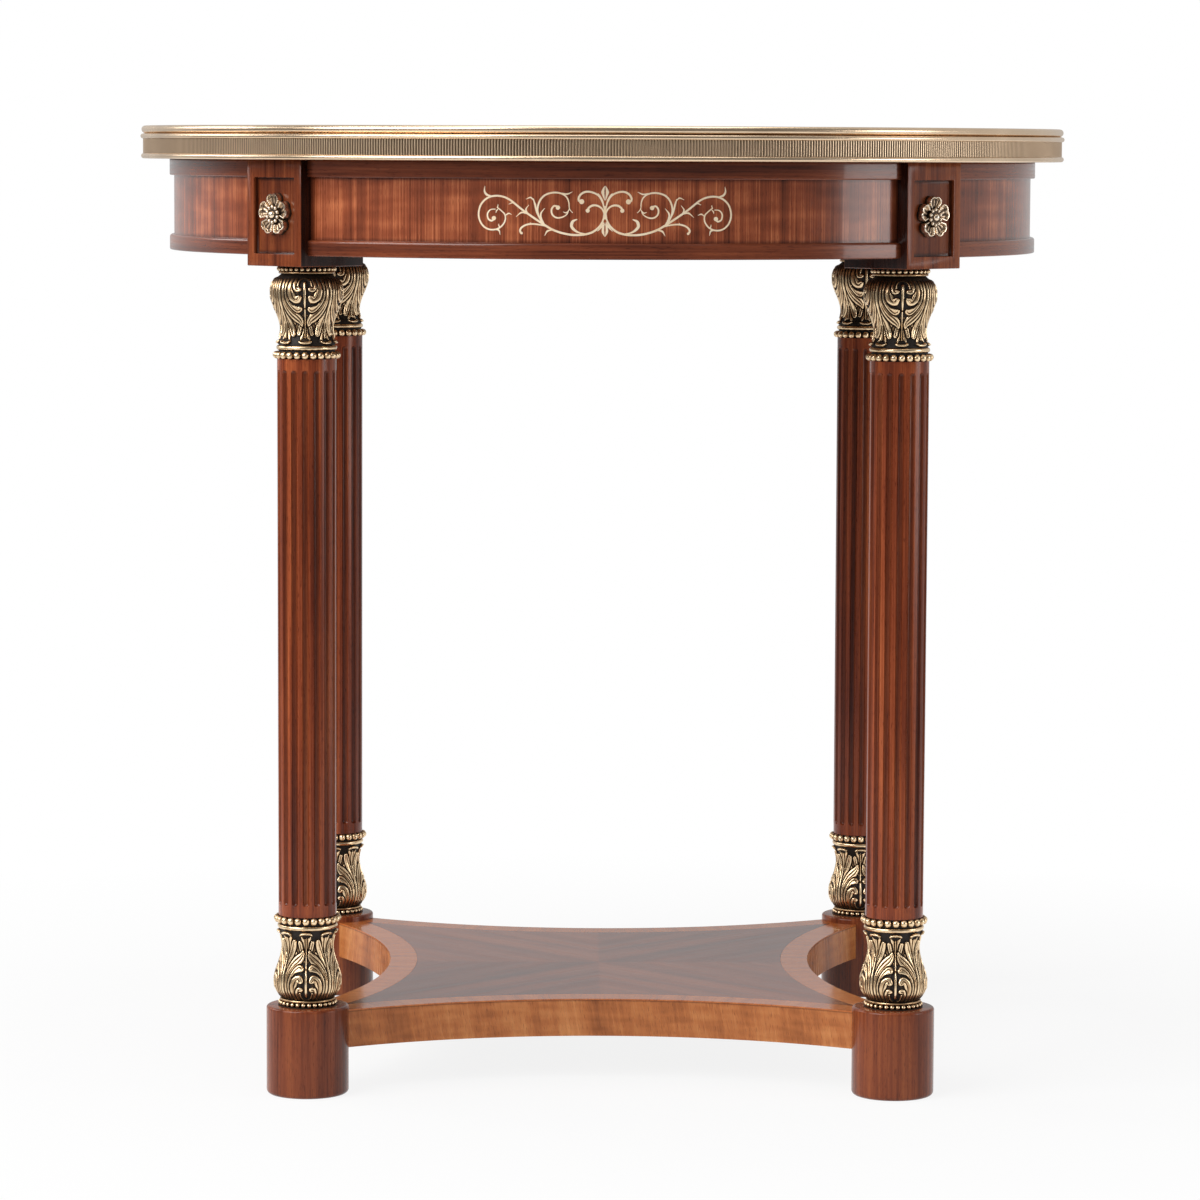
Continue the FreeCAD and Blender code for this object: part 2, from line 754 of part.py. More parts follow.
strips = [inlay_shell.common(prism) for prism in prisms]
inlay = strips[0].fuse(strips[1:]).removeSplitter()
nodes["front_inlay"] = Part.makeCompound(inlay.Solids)
panels["front"] = panels["front"].cut(inlay)
for side in side_angles:
    nodes["panel_veneer_" + side] = panels[side]

os.makedirs("parts", exist_ok=True)
for name, shape in nodes.items():
    shape.exportStep("parts/" + name + ".step")
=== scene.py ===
import math

import bmesh
import bpy
import numpy as np
from mathutils import Matrix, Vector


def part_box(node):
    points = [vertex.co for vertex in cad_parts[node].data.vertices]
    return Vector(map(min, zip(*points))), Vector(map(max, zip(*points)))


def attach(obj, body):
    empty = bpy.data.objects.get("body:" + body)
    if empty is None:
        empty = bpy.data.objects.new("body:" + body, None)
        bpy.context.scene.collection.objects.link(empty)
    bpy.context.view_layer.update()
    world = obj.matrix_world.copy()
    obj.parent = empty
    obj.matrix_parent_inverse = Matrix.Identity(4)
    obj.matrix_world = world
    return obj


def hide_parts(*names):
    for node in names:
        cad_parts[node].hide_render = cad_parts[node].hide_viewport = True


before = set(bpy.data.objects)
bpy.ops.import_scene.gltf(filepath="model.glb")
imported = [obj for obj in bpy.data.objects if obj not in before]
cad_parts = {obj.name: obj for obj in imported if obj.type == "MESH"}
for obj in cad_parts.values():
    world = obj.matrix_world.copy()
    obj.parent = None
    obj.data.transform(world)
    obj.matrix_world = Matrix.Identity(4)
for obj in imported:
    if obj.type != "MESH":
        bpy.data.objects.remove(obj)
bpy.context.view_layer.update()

# Round side table, metres, +Z up, inlaid front towards -Y
corners = {"front_left": 225, "front_right": 315, "back_right": 45, "back_left": 135}
sides = {"front": 270, "right": 0, "back": 90, "left": 180}


# Mesh helpers
def gridFaces(rows, cols, loopRows=False, loopCols=False):
    i, j = np.meshgrid(np.arange(rows if loopRows else rows - 1),
                       np.arange(cols if loopCols else cols - 1), indexing="ij")
    iNext = (i + 1) % rows
    jNext = (j + 1) % cols
    quads = np.stack([i * cols + j, i * cols + jNext, iNext * cols + jNext, iNext * cols + j], -1)
    return quads.reshape(-1, 4).tolist()


def cappedFaces(rows, cols):
    # Rings joined into a closed skin, with one face over each end
    last = (rows - 1) * cols
    caps = [list(range(cols))[::-1], list(range(last, last + cols))]
    return gridFaces(rows, cols, loopCols=True) + caps


def smoothCurve(points, perSpan):
    # Catmull-Rom through the points, in any number of dimensions
    p = np.array(points, float)
    p = np.vstack([2 * p[0] - p[1], p, 2 * p[-1] - p[-2]])
    t = np.linspace(0, 1, perSpan, endpoint=False)[:, None]
    spans = []
    for a, b, c, d in zip(p, p[1:], p[2:], p[3:]):
        spans.append(0.5 * (2 * b + (c - a) * t + (2 * a - 5 * b + 4 * c - d) * t ** 2
                            + (3 * b - a - 3 * c + d) * t ** 3))
    return np.vstack(spans + [p[-2:-1]])


def arcPoints(centre, radius, startDegrees, endDegrees, count):
    angles = np.radians(np.linspace(startDegrees, endDegrees, count))
    return [(centre[0] + radius * math.cos(a), centre[1] + radius * math.sin(a)) for a in angles]


def turned(reach, angles, levels):
    # Points at a reach from the Z axis, for every angle and level
    reach, angles, levels = np.broadcast_arrays(reach, angles, levels)
    return np.stack([reach * np.cos(angles), reach * np.sin(angles), levels], -1)


def spun(profile, angles):
    # A profile of radius and height pairs turned about the Z axis
    profile = np.array(profile)
    return turned(profile[:, :1], angles, profile[:, 1:])


def rising(value, start, width):
    # From 0 at the start to 1 a width later
    return np.clip((value - start) / width, 0, 1)


def fullTurn(count):
    return np.linspace(0, 2 * math.pi, count, endpoint=False)


def moved(points, degrees=0, place=(0, 0, 0)):
    c, s = math.cos(math.radians(degrees)), math.sin(math.radians(degrees))
    turn = np.array([[c, -s, 0], [s, c, 0], [0, 0, 1]])
    return np.asarray(points).reshape(-1, 3) @ turn.T + np.array(place)


def ball(radius, segments, rings):
    # Closed ball without pole vertices
    tilt = np.linspace(-math.pi / 2, math.pi / 2, rings + 2)[1:-1]
    ringProfile = np.stack([radius * np.cos(tilt), radius * np.sin(tilt)], -1)
    return spun(ringProfile, fullTurn(segments)).reshape(-1, 3), cappedFaces(rings, segments)


def tube(radius, length, facets=48):
    # Closed post along X from the origin
    angles = fullTurn(facets)
    ring = np.stack([np.zeros(facets), radius * np.sin(angles), radius * np.cos(angles)], -1)
    return np.vstack([ring, ring + np.array((length, 0, 0))]), cappedFaces(2, facets)


class Heap:
    # Gathers several closed shells, with their relief, into one mesh
    def __init__(self):
        self.points, self.faces, self.relief = [], [], []

    def add(self, points, faces, relief=1.0):
        points = np.asarray(points, float).reshape(-1, 3)
        first = sum(len(p) for p in self.points)
        self.points.append(points)
        self.faces += [[first + k for k in face] for face in faces]
        self.relief.append(np.broadcast_to(relief, len(points)))


def addPiece(name, points, faces, material, replaced=(), sharpDegrees=35, marks=None):
    mesh = bpy.data.meshes.new(name)
    mesh.from_pydata(np.asarray(points).reshape(-1, 3).tolist(), [], faces)
    tidy = bmesh.new()
    tidy.from_mesh(mesh)
    bmesh.ops.recalc_face_normals(tidy, faces=tidy.faces)
    tidy.to_mesh(mesh)
    tidy.free()
    mesh.shade_smooth()
    mesh.set_sharp_from_angle(angle=math.radians(sharpDegrees))
    for mark, values in (marks or {}).items():
        layer = mesh.attributes.new(mark, "FLOAT", "POINT")
        layer.data.foreach_set("value", np.asarray(values, np.float32).ravel())
    mesh.materials.append(material)
    piece = bpy.data.objects.new(name, mesh)
    bpy.context.scene.collection.objects.link(piece)
    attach(piece, "root")
    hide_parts(*replaced)
    return piece


def addHeap(name, heap, material, replaced, sharpDegrees, useRelief=True):
    marks = {"relief": np.concatenate(heap.relief)} if useRelief else None
    return addPiece(name, np.vstack(heap.points), heap.faces, material, replaced, sharpDegrees, marks)


def middleOf(node):
    low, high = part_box(node)
    return (low + high) / 2


# Material helpers
def newMaterial(name):
    material = bpy.data.materials.new(name)
    material.use_nodes = True
    tree = material.node_tree
    place = tree.nodes.new("ShaderNodeTexCoord").outputs["Object"]
    return material, tree, tree.nodes["Principled BSDF"], place


def feed(tree, node, inputs):
    # Links each named or numbered input to a socket, or sets its value
    for key, value in inputs.items():
        socket = node.inputs[int(key[1:])] if key[0] == "i" and key[1:].isdigit() else node.inputs[key]
        if isinstance(value, bpy.types.NodeSocket):
            tree.links.new(value, socket)
        else:
            socket.default_value = value


def addNode(tree, kind, settings=None, **inputs):
    node = tree.nodes.new("ShaderNode" + kind)
    for key, value in (settings or {}).items():
        setattr(node, key, value)
    feed(tree, node, inputs)
    return node


def maths(tree, operation, a, b=0.0):
    return addNode(tree, "Math", {"operation": operation}, i0=a, i1=b).outputs[0]


def plus(tree, a, b):
    return maths(tree, "ADD", a, b)


def minus(tree, a, b):
    return maths(tree, "SUBTRACT", a, b)


def times(tree, a, b):
    return maths(tree, "MULTIPLY", a, b)


def larger(tree, a, b):
    return maths(tree, "MAXIMUM", a, b)


def hypotenuse(tree, a, b):
    return maths(tree, "SQRT", plus(tree, times(tree, a, a), times(tree, b, b)))


def stretched(tree, vector, factors):
    return addNode(tree, "VectorMath", {"operation": "MULTIPLY"}, i0=vector, i1=factors).outputs[0]


def noiseOf(tree, vector, detail, roughness=0.5, distortion=0.0):
    noise = addNode(tree, "TexNoise", None, Vector=vector, Scale=1.0, Detail=detail,
                    Roughness=roughness, Distortion=distortion)
    return noise.outputs["Fac"]


def ramp(tree, value, stops):
    node = addNode(tree, "ValToRGB", None, Fac=value)
    elements = node.color_ramp.elements
    while len(elements) < len(stops):
        elements.new(0.5)
    for element, (position, colour) in zip(elements, stops):
        element.position = position
        element.color = (*colour, 1.0)
    return node.outputs["Color"]


def spread(tree, value, low, high, newLow, newHigh):
    node = addNode(tree, "MapRange", None, Value=value)
    feed(tree, node, {"From Min": low, "From Max": high, "To Min": newLow, "To Max": newHigh})
    return node.outputs["Result"]


def bumped(tree, shader, height, strength, depth):
    bump = addNode(tree, "Bump", None, Height=height, Strength=strength, Distance=depth)
    feed(tree, shader, {"Normal": bump.outputs[0]})


def grey(value):
    return (value, value, value)


# Grain coordinates, from where a point lies on the table: first along the grain, then across it
def bearing(tree, x, y):
    return maths(tree, "ARCTAN2", y, x)


def folded(tree, x, y):
    return maths(tree, "ABSOLUTE", x), maths(tree, "ABSOLUTE", y)


def grainUpright(tree, x, y, z):
    return z, x, y


def grainUnrolled(tree, x, y, z):
    return z, times(tree, bearing(tree, x, y), friezeSizes["panelRadius"]), 0.0


def grainAround(tree, x, y, z):
    return times(tree, bearing(tree, x, y), friezeSizes["bandRadius"]), z, hypotenuse(tree, x, y)


def grainRadial(tree, x, y, z):
    return hypotenuse(tree, x, y), times(tree, bearing(tree, x, y), friezeSizes["panelRadius"]), 0.0


def grainQuartered(tree, x, y, z):
    xFold, yFold = folded(tree, x, y)
    along = times(tree, plus(tree, xFold, yFold), math.sqrt(0.5))
    return along, times(tree, minus(tree, xFold, yFold), math.sqrt(0.5)), 0.0


def grainCrossband(tree, x, y, z):
    # About the centre of the nearest concave edge of the platform
    xFold, yFold = folded(tree, x, y)
    side = maths(tree, "MINIMUM", xFold, yFold)
    out = minus(tree, platformSizes["edgeCentre"], larger(tree, xFold, yFold))
    lengthAlong = times(tree, bearing(tree, out, side), platformSizes["edgeRadius"])
    nextEdge = times(tree, maths(tree, "GREATER_THAN", xFold, yFold), platformSizes["edgeRadius"])
    return hypotenuse(tree, side, out), plus(tree, lengthAlong, nextEdge), 0.0


def grainEdge(tree, x, y, z):
    # Along X on the front and back edges, along Y on the other two, leaning a little
    sideways = maths(tree, "GREATER_THAN", *folded(tree, x, y))
    lengthAlong = plus(tree, times(tree, y, sideways), times(tree, x, minus(tree, 1.0, sideways)))
    return z, plus(tree, lengthAlong, times(tree, z, platformSizes["grainLean"])), sideways


noiseRange = (0.3, 0.7)  # where most of a noise's values lie


def roughnessFrom(tree, noise, look):
    smoother, rougher = look["roughSpread"]
    return spread(tree, noise, *noiseRange, look["roughness"] + smoother, look["roughness"] + rougher)


def woodFinish(name, grain, look):
    material, tree, shader, place = newMaterial(name)
    axes = addNode(tree, "SeparateXYZ", None, Vector=place).outputs
    along, across, depth = grain(tree, axes[0], axes[1], axes[2])
    coords = addNode(tree, "CombineXYZ", None, X=along, Y=across, Z=depth).outputs[0]

    def streaks(alongPerMetre, acrossPerMetre, detail, distortion=0.0):
        return noiseOf(tree, stretched(tree, coords, (alongPerMetre, acrossPerMetre, acrossPerMetre)),
                       detail, look["noiseRoughness"], distortion)

    finerAlong, finerAcross = look["fibreFiner"]
    figures = {
        "ribbonShare": streaks(look["ribbonAlong"], look["ribbonAcross"], 3.0, look["ribbonWander"]),
        "fibreShare": streaks(look["ribbonAlong"] * finerAlong, look["ribbonAcross"] * finerAcross, 2.0),
        "cloudShare": streaks(look["cloud"], look["cloud"] * look["cloudNarrow"], 2.0),
        "rippleShare": streaks(look["ripple"], look["ripple"] * look["rippleNarrow"], 1.0)}
    tone = 0.0
    for share, figure in figures.items():
        tone = plus(tree, tone, times(tree, figure, look[share]))
    if look["quarterShade"]:  # painted light and shade: alternate quarters of a field painted lighter and darker, as they take the light differently
        quarter = maths(tree, "SIGN", times(tree, axes[0], axes[1]))
        tone = minus(tree, tone, times(tree, quarter, look["quarterShade"]))
    pores = streaks(look["poreAlong"], look["poreAcross"], 1.0)
    pores = spread(tree, pores, *look["poreEdges"], 0.0, look["poreDark"])
    # Painted shade, and on the corner blocks' sides a dark stain, as marked on the mesh and multiplied into
    # the colour
    shadeAndStain = addNode(tree, "Attribute", {"attribute_name": "shadeAndStain"}).outputs["Fac"]
    if look["arrisReach"]:  # darker towards the upper arris
        under = minus(tree, platformSizes["top"], axes[2])
        shadeAndStain = larger(tree, shadeAndStain, spread(tree, under, 0.0, look["arrisReach"], look["arrisDarkening"], 0.0))
    colour = ramp(tree, tone, look["tones"])
    for amount, tint in ((pores, look["poreTint"]), (shadeAndStain, look["shadeAndStain"])):
        mix = addNode(tree, "Mix", {"data_type": "RGBA", "blend_type": "MULTIPLY"}, i0=amount, i6=colour,
                      i7=(*tint, 1.0))
        colour = mix.outputs[2]
    fibre = figures["fibreShare"]
    feed(tree, shader, {
        "Base Color": colour, "Roughness": roughnessFrom(tree, fibre, look), "Coat Weight": look["lacquer"],
        "Coat Roughness": look["lacquerRoughness"], "Specular IOR Level": look["gloss"]})
    height = minus(tree, times(tree, fibre, look["fibreHeight"]), pores)
    bumped(tree, shader, height, look["bump"], look["bumpDepth"])
    return material


woodLook = {
    "noiseRoughness": 0.55,
    "ribbonAlong": 3.0, "ribbonAcross": 95.0, "ribbonWander": 0.3, "ribbonShare": 0.75,
    "fibreFiner": (4, 7), "fibreShare": 0.35, "fibreHeight": 0.4, "cloud": 6.0, "cloudNarrow": 1.5,
    "cloudShare": 0.25, "ripple": 60.0, "rippleNarrow": 0.22, "rippleShare": 0.05, "quarterShade": 0.0,
    "poreAlong": 160.0, "poreAcross": 1900.0, "poreEdges": (0.60, 0.72), "poreDark": 0.6,
    # the pore tint, then the tint of the painted shade and of the blocks' dark stain
    "poreTint": (0.25, 0.16, 0.12), "shadeAndStain": (0.10, 0.07, 0.06), "arrisReach": 0.0,
    "roughness": 0.20, "roughSpread": (-0.05, 0.07), "bump": 0.12, "bumpDepth": 0.0002,
    "gloss": 0.3, "lacquer": 0.0, "lacquerRoughness": 0.06,
    "tones": [(0.52, (0.085, 0.017, 0.006)), (0.70, (0.195, 0.043, 0.014)), (0.88, (0.330, 0.090, 0.028))],
}
friezeSizes = {
    "panelRadius": -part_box("panel_veneer_front")[0].y, "bandRadius": -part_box("upper_band_front")[0].y,
    "columns": 72, "bandEase": 0.0009, "bandShoulder": 0.0022, "noseSteps": 6, "shoulderSteps": 9,
    "veneer": 0.0009, "blockHalf": 0.0293, "blockReach": 0.0318,
    "paintedShadeReach": 0.0025, "edgePaintedShade": 0.55, "endPaintedShade": 0.8,
}
platformSizes = {
    "top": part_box("platform_edge_veneer")[1].z, "edgeCentre": 0.54244, "edgeRadius": 0.37856,
    "grainLean": 0.16,
}

mahogany = woodFinish("mahogany_upright", grainUpright, woodLook)
columnWood = woodFinish("mahogany_column", grainUpright, {
    **woodLook, "ribbonAcross": 130.0, "ribbonAlong": 2.2,
    "tones": [(0.52, (0.100, 0.018, 0.007)), (0.70, (0.240, 0.049, 0.016)), (0.88, (0.42, 0.106, 0.034))]})
bandWood = woodFinish("mahogany_round", grainAround, {
    **woodLook, "lacquer": 0.4,
    "tones": [(0.52, (0.080, 0.017, 0.007)), (0.70, (0.195, 0.044, 0.016)), (0.88, (0.33, 0.086, 0.029))]})
panelWood = woodFinish("frieze_veneer", grainUnrolled, {
    **woodLook, "ribbonAlong": 1.5, "ribbonAcross": 120.0, "ribbonShare": 0.58, "fibreShare": 0.45,
    "cloud": 14.0, "cloudShare": 0.36, "ripple": 85.0, "rippleShare": 0.26, "gloss": 0.35, "lacquer": 0.40,
    "tones": [(0.62, (0.080, 0.016, 0.005)), (0.84, (0.285, 0.065, 0.024)), (1.0, (0.60, 0.185, 0.072))]})
fieldWood = woodFinish("quartered_veneer", grainQuartered, {
    **woodLook, "ribbonAlong": 2.0, "ribbonAcross": 45.0, "ripple": 30.0, "rippleShare": 0.12,
    "roughness": 0.14, "quarterShade": 0.06,
    "tones": [(0.54, (0.085, 0.018, 0.008)), (0.73, (0.190, 0.042, 0.015)), (0.94, (0.31, 0.082, 0.030))]})
crossbandLook = {
    **woodLook, "ribbonAlong": 8.0, "ribbonAcross": 90.0, "ripple": 40.0, "rippleShare": 0.10,
    "roughness": 0.10,
    "tones": [(0.54, (0.39, 0.105, 0.026)), (0.73, (0.51, 0.145, 0.036)), (0.92, (0.60, 0.200, 0.058))]}
crossbandWood = woodFinish("platform_crossband_veneer", grainCrossband, crossbandLook)
topBandWood = woodFinish("top_crossband_veneer", grainRadial, crossbandLook)
edgeWood = woodFinish("platform_edge_veneer", grainEdge, {
    **crossbandLook, "roughness": 0.24, "ribbonAlong": 5.0, "ribbonAcross": 36.0, "ribbonShare": 0.66,
    "fibreShare": 0.26, "ripple": 170.0, "rippleShare": 0.29, "arrisReach": 0.0012, "arrisDarkening": 0.75,
    "tones": [(0.54, (0.25, 0.072, 0.018)), (0.73, (0.46, 0.150, 0.043)), (0.92, (0.62, 0.250, 0.084))]})
coreWood = woodFinish("core_board", grainAround, {
    **woodLook, "roughness": 0.6,
    "tones": [(0.40, (0.11, 0.055, 0.028)), (0.64, (0.17, 0.09, 0.048)), (0.92, (0.24, 0.14, 0.08))]})
beech = woodFinish("beech", grainUpright, {
    **woodLook, "roughness": 0.6,
    "tones": [(0.40, (0.40, 0.25, 0.12)), (0.64, (0.50, 0.33, 0.17)), (0.92, (0.60, 0.42, 0.24))]})


def castBrass(name, look):
    # Old cast brass: bright where hands rub it, dark with patina in the hollows, as the relief on the mesh
    # tells; that mark also carries painted shade and painted highlights
    material, tree, shader, place = newMaterial(name)
    relief = addNode(tree, "Attribute", {"attribute_name": "relief"}).outputs["Fac"]
    stain = noiseOf(tree, stretched(tree, place, grey(look["stain"])), 4.0)
    wearAndShade = plus(tree, relief, spread(tree, stain, *noiseRange, -look["stainShare"], look["stainShare"]))
    feed(tree, shader, {
        "Base Color": ramp(tree, wearAndShade, look["tones"]),
        "Metallic": spread(tree, wearAndShade, *look["metalEdges"], look["dullMetal"], 1.0),
        "Roughness": spread(tree, wearAndShade, *look["roughEdges"], look["dullRoughness"], look["roughness"])})
    pits = noiseOf(tree, stretched(tree, place, grey(look["pits"])), 2.0)
    bumped(tree, shader, pits, look["bump"], look["bumpDepth"])
    return material


def polishedBrass(name, look):
    material, tree, shader, place = newMaterial(name)
    stain = noiseOf(tree, stretched(tree, place, grey(look["stain"])), 4.0)
    brushed = noiseOf(tree, stretched(tree, place, look["brush"]), 2.0)
    rough = roughnessFrom(tree, stain, look)
    feed(tree, shader, {
        "Base Color": ramp(tree, stain, look["tones"]), "Metallic": look["metal"],
        "Roughness": plus(tree, rough, times(tree, brushed, look["brushRough"]))})
    bumped(tree, shader, brushed, look["bump"], look["bumpDepth"])
    return material


castLook = {
    "stain": 260.0, "stainShare": 0.10, "roughness": 0.26, "dullRoughness": 0.60, "roughEdges": (0.15, 0.8),
    "dullMetal": 0.35, "metalEdges": (0.15, 0.45), "pits": 2400.0, "bump": 0.15, "bumpDepth": 0.0001,
    "tones": [(0.15, (0.016, 0.010, 0.007)), (0.46, (0.115, 0.062, 0.028)), (0.73, (0.60, 0.39, 0.21)),
              (0.94, (1.0, 0.77, 0.49))],
}
polishLook = {
    "metal": 1.0, "roughSpread": (-0.04, 0.05), "brush": (60.0, 60.0, 5200.0), "brushRough": 0.06,
    "bump": 0.005, "bumpDepth": 0.0001,
}
casting = castBrass("antique_cast_brass", castLook)
rosetteBrass = castBrass("pale_rosette_brass", {
    **castLook,
    "tones": [(0.15, (0.018, 0.012, 0.008)), (0.40, (0.20, 0.125, 0.075)), (0.66, (0.72, 0.54, 0.38)),
              (0.95, (1.0, 0.85, 0.67))]})
rimBrass = polishedBrass("rim_brass", {
    **polishLook, "stain": 14.0, "roughness": 0.22,
    "tones": [(0.30, (0.71, 0.53, 0.36)), (0.70, (0.93, 0.72, 0.51))]})
reedBrass = castBrass("reeded_brass", {
    **castLook, "stain": 14.0, "stainShare": 0.06, "roughness": 0.28,
    "tones": [(0.10, (0.06, 0.038, 0.022)), (0.45, (0.42, 0.29, 0.185)), (0.95, (0.80, 0.60, 0.41))]})
inlayBrass = polishedBrass("inlay_brass", {
    **polishLook, "stain": 120.0, "roughness": 0.42, "metal": 0.12,
    "tones": [(0.30, (0.96, 0.74, 0.49)), (0.70, (1.0, 0.86, 0.64))]})
screwSteel = polishedBrass("screw_steel", {
    **polishLook, "stain": 200.0, "roughness": 0.35,
    "tones": [(0.30, (0.30, 0.30, 0.31)), (0.70, (0.48, 0.48, 0.49))]})
print("finishes ready")

# Brass rim: three half-round beads and a reeded band
rimSizes = {
    "wall": 0.005, "upperBead": 0.0057, "upperSetIn": 0.0008, "groove": 0.0004, "middleBead": 0.0037,
    "lowerBead": 0.004, "lowerSetIn": 0.0004, "bandSetIn": 0.0019, "segments": 384, "beadSteps": 13,
    "ribs": 1040, "ribDepth": 0.0008, "ribSteps": 6, "ribRound": 0.96, "ribBack": 2.5, "ribSharp": 50,
}


def beadProfile(crest, high, height):
    middle = (crest - height / 2, high - height / 2)
    return arcPoints(middle, height / 2, 90, -90, rimSizes["beadSteps"])


def buildRim(look):
    low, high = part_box("rim_band")
    radius, top, bottom = high.x, high.z, low.z
    bandRadius = radius - look["bandSetIn"]
    inner = bandRadius - look["wall"]
    middleTop = top - look["upperBead"] - look["groove"]
    bandTop = middleTop - look["middleBead"]
    bandLow = bottom + look["lowerBead"]
    profile = [(inner, bottom), (inner, top)]
    profile += beadProfile(radius - look["upperSetIn"], top, look["upperBead"])
    profile += beadProfile(radius, middleTop, look["middleBead"])
    profile += [(bandRadius - look["ribDepth"], bandTop), (bandRadius - look["ribDepth"], bandLow)]
    profile += beadProfile(radius - look["lowerSetIn"], bandLow, look["lowerBead"])
    points = spun(profile, fullTurn(look["segments"]))
    addPiece("rim_moulding", points, gridFaces(len(profile), look["segments"], True, True), rimBrass,
             ["rim_band"])
    # Each rib is a half round, sampled a few times across
    count = look["ribs"] * look["ribSteps"]
    across = np.tile(np.linspace(-1, 1, look["ribSteps"], endpoint=False), look["ribs"])
    outer = bandRadius - look["ribDepth"] * (1 - np.sqrt(1 - look["ribRound"] * across ** 2))
    back = bandRadius - look["ribBack"] * look["ribDepth"]
    angles = fullTurn(count)
    rows = []
    for reach, level in ((back, bandLow), (outer, bandLow), (outer, bandTop), (back, bandTop)):
        rows.append(turned(reach, angles, level))
    # ribs light on their crests and dark between them: patina in the grooves and painted shade
    crest, flat = 1 - np.abs(across), np.zeros(count)
    marks = {"relief": np.concatenate([flat, crest, crest, flat])}
    addPiece("rim_reeding", np.vstack(rows), gridFaces(4, count, True, True), reedBrass, (),
             look["ribSharp"], marks)


buildRim(rimSizes)
print("rim built")

# Frieze: panels and eased bands that run from block to block
def friezeStrip(name, sideDegrees, profile, shadeAndStain, material, replaced):
    profile = np.array(profile)
    reach = math.pi / 4 - np.arcsin(friezeSizes["blockHalf"] / profile[:, 0])
    shares = np.linspace(-1, 1, friezeSizes["columns"])
    angles = math.radians(sideDegrees) + reach[:, None] * shares
    points = turned(profile[:, :1], angles, profile[:, 1:])
    faces = gridFaces(len(profile), len(shares), loopRows=True)
    firstEnd = [k * len(shares) for k in range(len(profile))]
    faces.append(firstEnd)
    faces.append([k + len(shares) - 1 for k in firstEnd][::-1])
    # painted shade at both ends of each strip, next to the blocks
    atBlocks = np.zeros(len(shares))
    atBlocks[[0, -1]] = friezeSizes["endPaintedShade"]
    marks = {"shadeAndStain": np.maximum(np.array(shadeAndStain)[:, None], atBlocks)}
    return addPiece(name, points, faces, material, replaced, marks=marks)


def easedProfile(inner, outer, low, high, noseEase, shoulderEase):
    steps, more = friezeSizes["noseSteps"], friezeSizes["shoulderSteps"]
    nose = arcPoints((outer - noseEase, low + noseEase), noseEase, -90, 0, steps)
    shoulder = arcPoints((outer - shoulderEase, high - shoulderEase), shoulderEase, 0, 90, more)
    return [(inner, low)] + nose + shoulder + [(inner, high)]


for side, degrees in sides.items():
    panelLow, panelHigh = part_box("panel_veneer_" + side)
    panelRadius = friezeSizes["panelRadius"]
    # painted shade along the panel's top and bottom edges, under the upper band and over the lower one
    panelBack = panelRadius - friezeSizes["veneer"]
    fade = friezeSizes["paintedShadeReach"]
    dark = friezeSizes["edgePaintedShade"]
    friezeStrip("frieze_panel_" + side, degrees, [
        (panelBack, panelLow.z), (panelRadius, panelLow.z), (panelRadius, panelLow.z + fade),
        (panelRadius, panelHigh.z - fade), (panelRadius, panelHigh.z), (panelBack, panelHigh.z)],
        [dark, dark, 0, 0, dark, dark], panelWood, ["panel_veneer_" + side])
    for band, shoulder in (("upper_band_", "bandEase"), ("lower_band_", "bandShoulder")):
        low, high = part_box(band + side)
        profile = easedProfile(panelBack, friezeSizes["bandRadius"], low.z, high.z,
                               friezeSizes["bandEase"], friezeSizes[shoulder])
        friezeStrip("frieze_" + band + side, degrees, profile, [0] * len(profile), bandWood,
                    [band + side])
print("frieze built")

# Corner blocks with a sunk panel on the outer face, all arrises eased
blockSizes = {
    "panelHalf": 0.0217, "topMargin": 0.0129, "bottomMargin": 0.009, "panelDepth": 0.0035,
    "ease": 0.0006, "easeSteps": 2, "bentAngle": 0.5, "sharp": 30, "hair": 1e-6,
    "paintedShadeReach": 0.003, "wallPaintedShade": 0.85, "floorPaintedShade": 0.22,
}


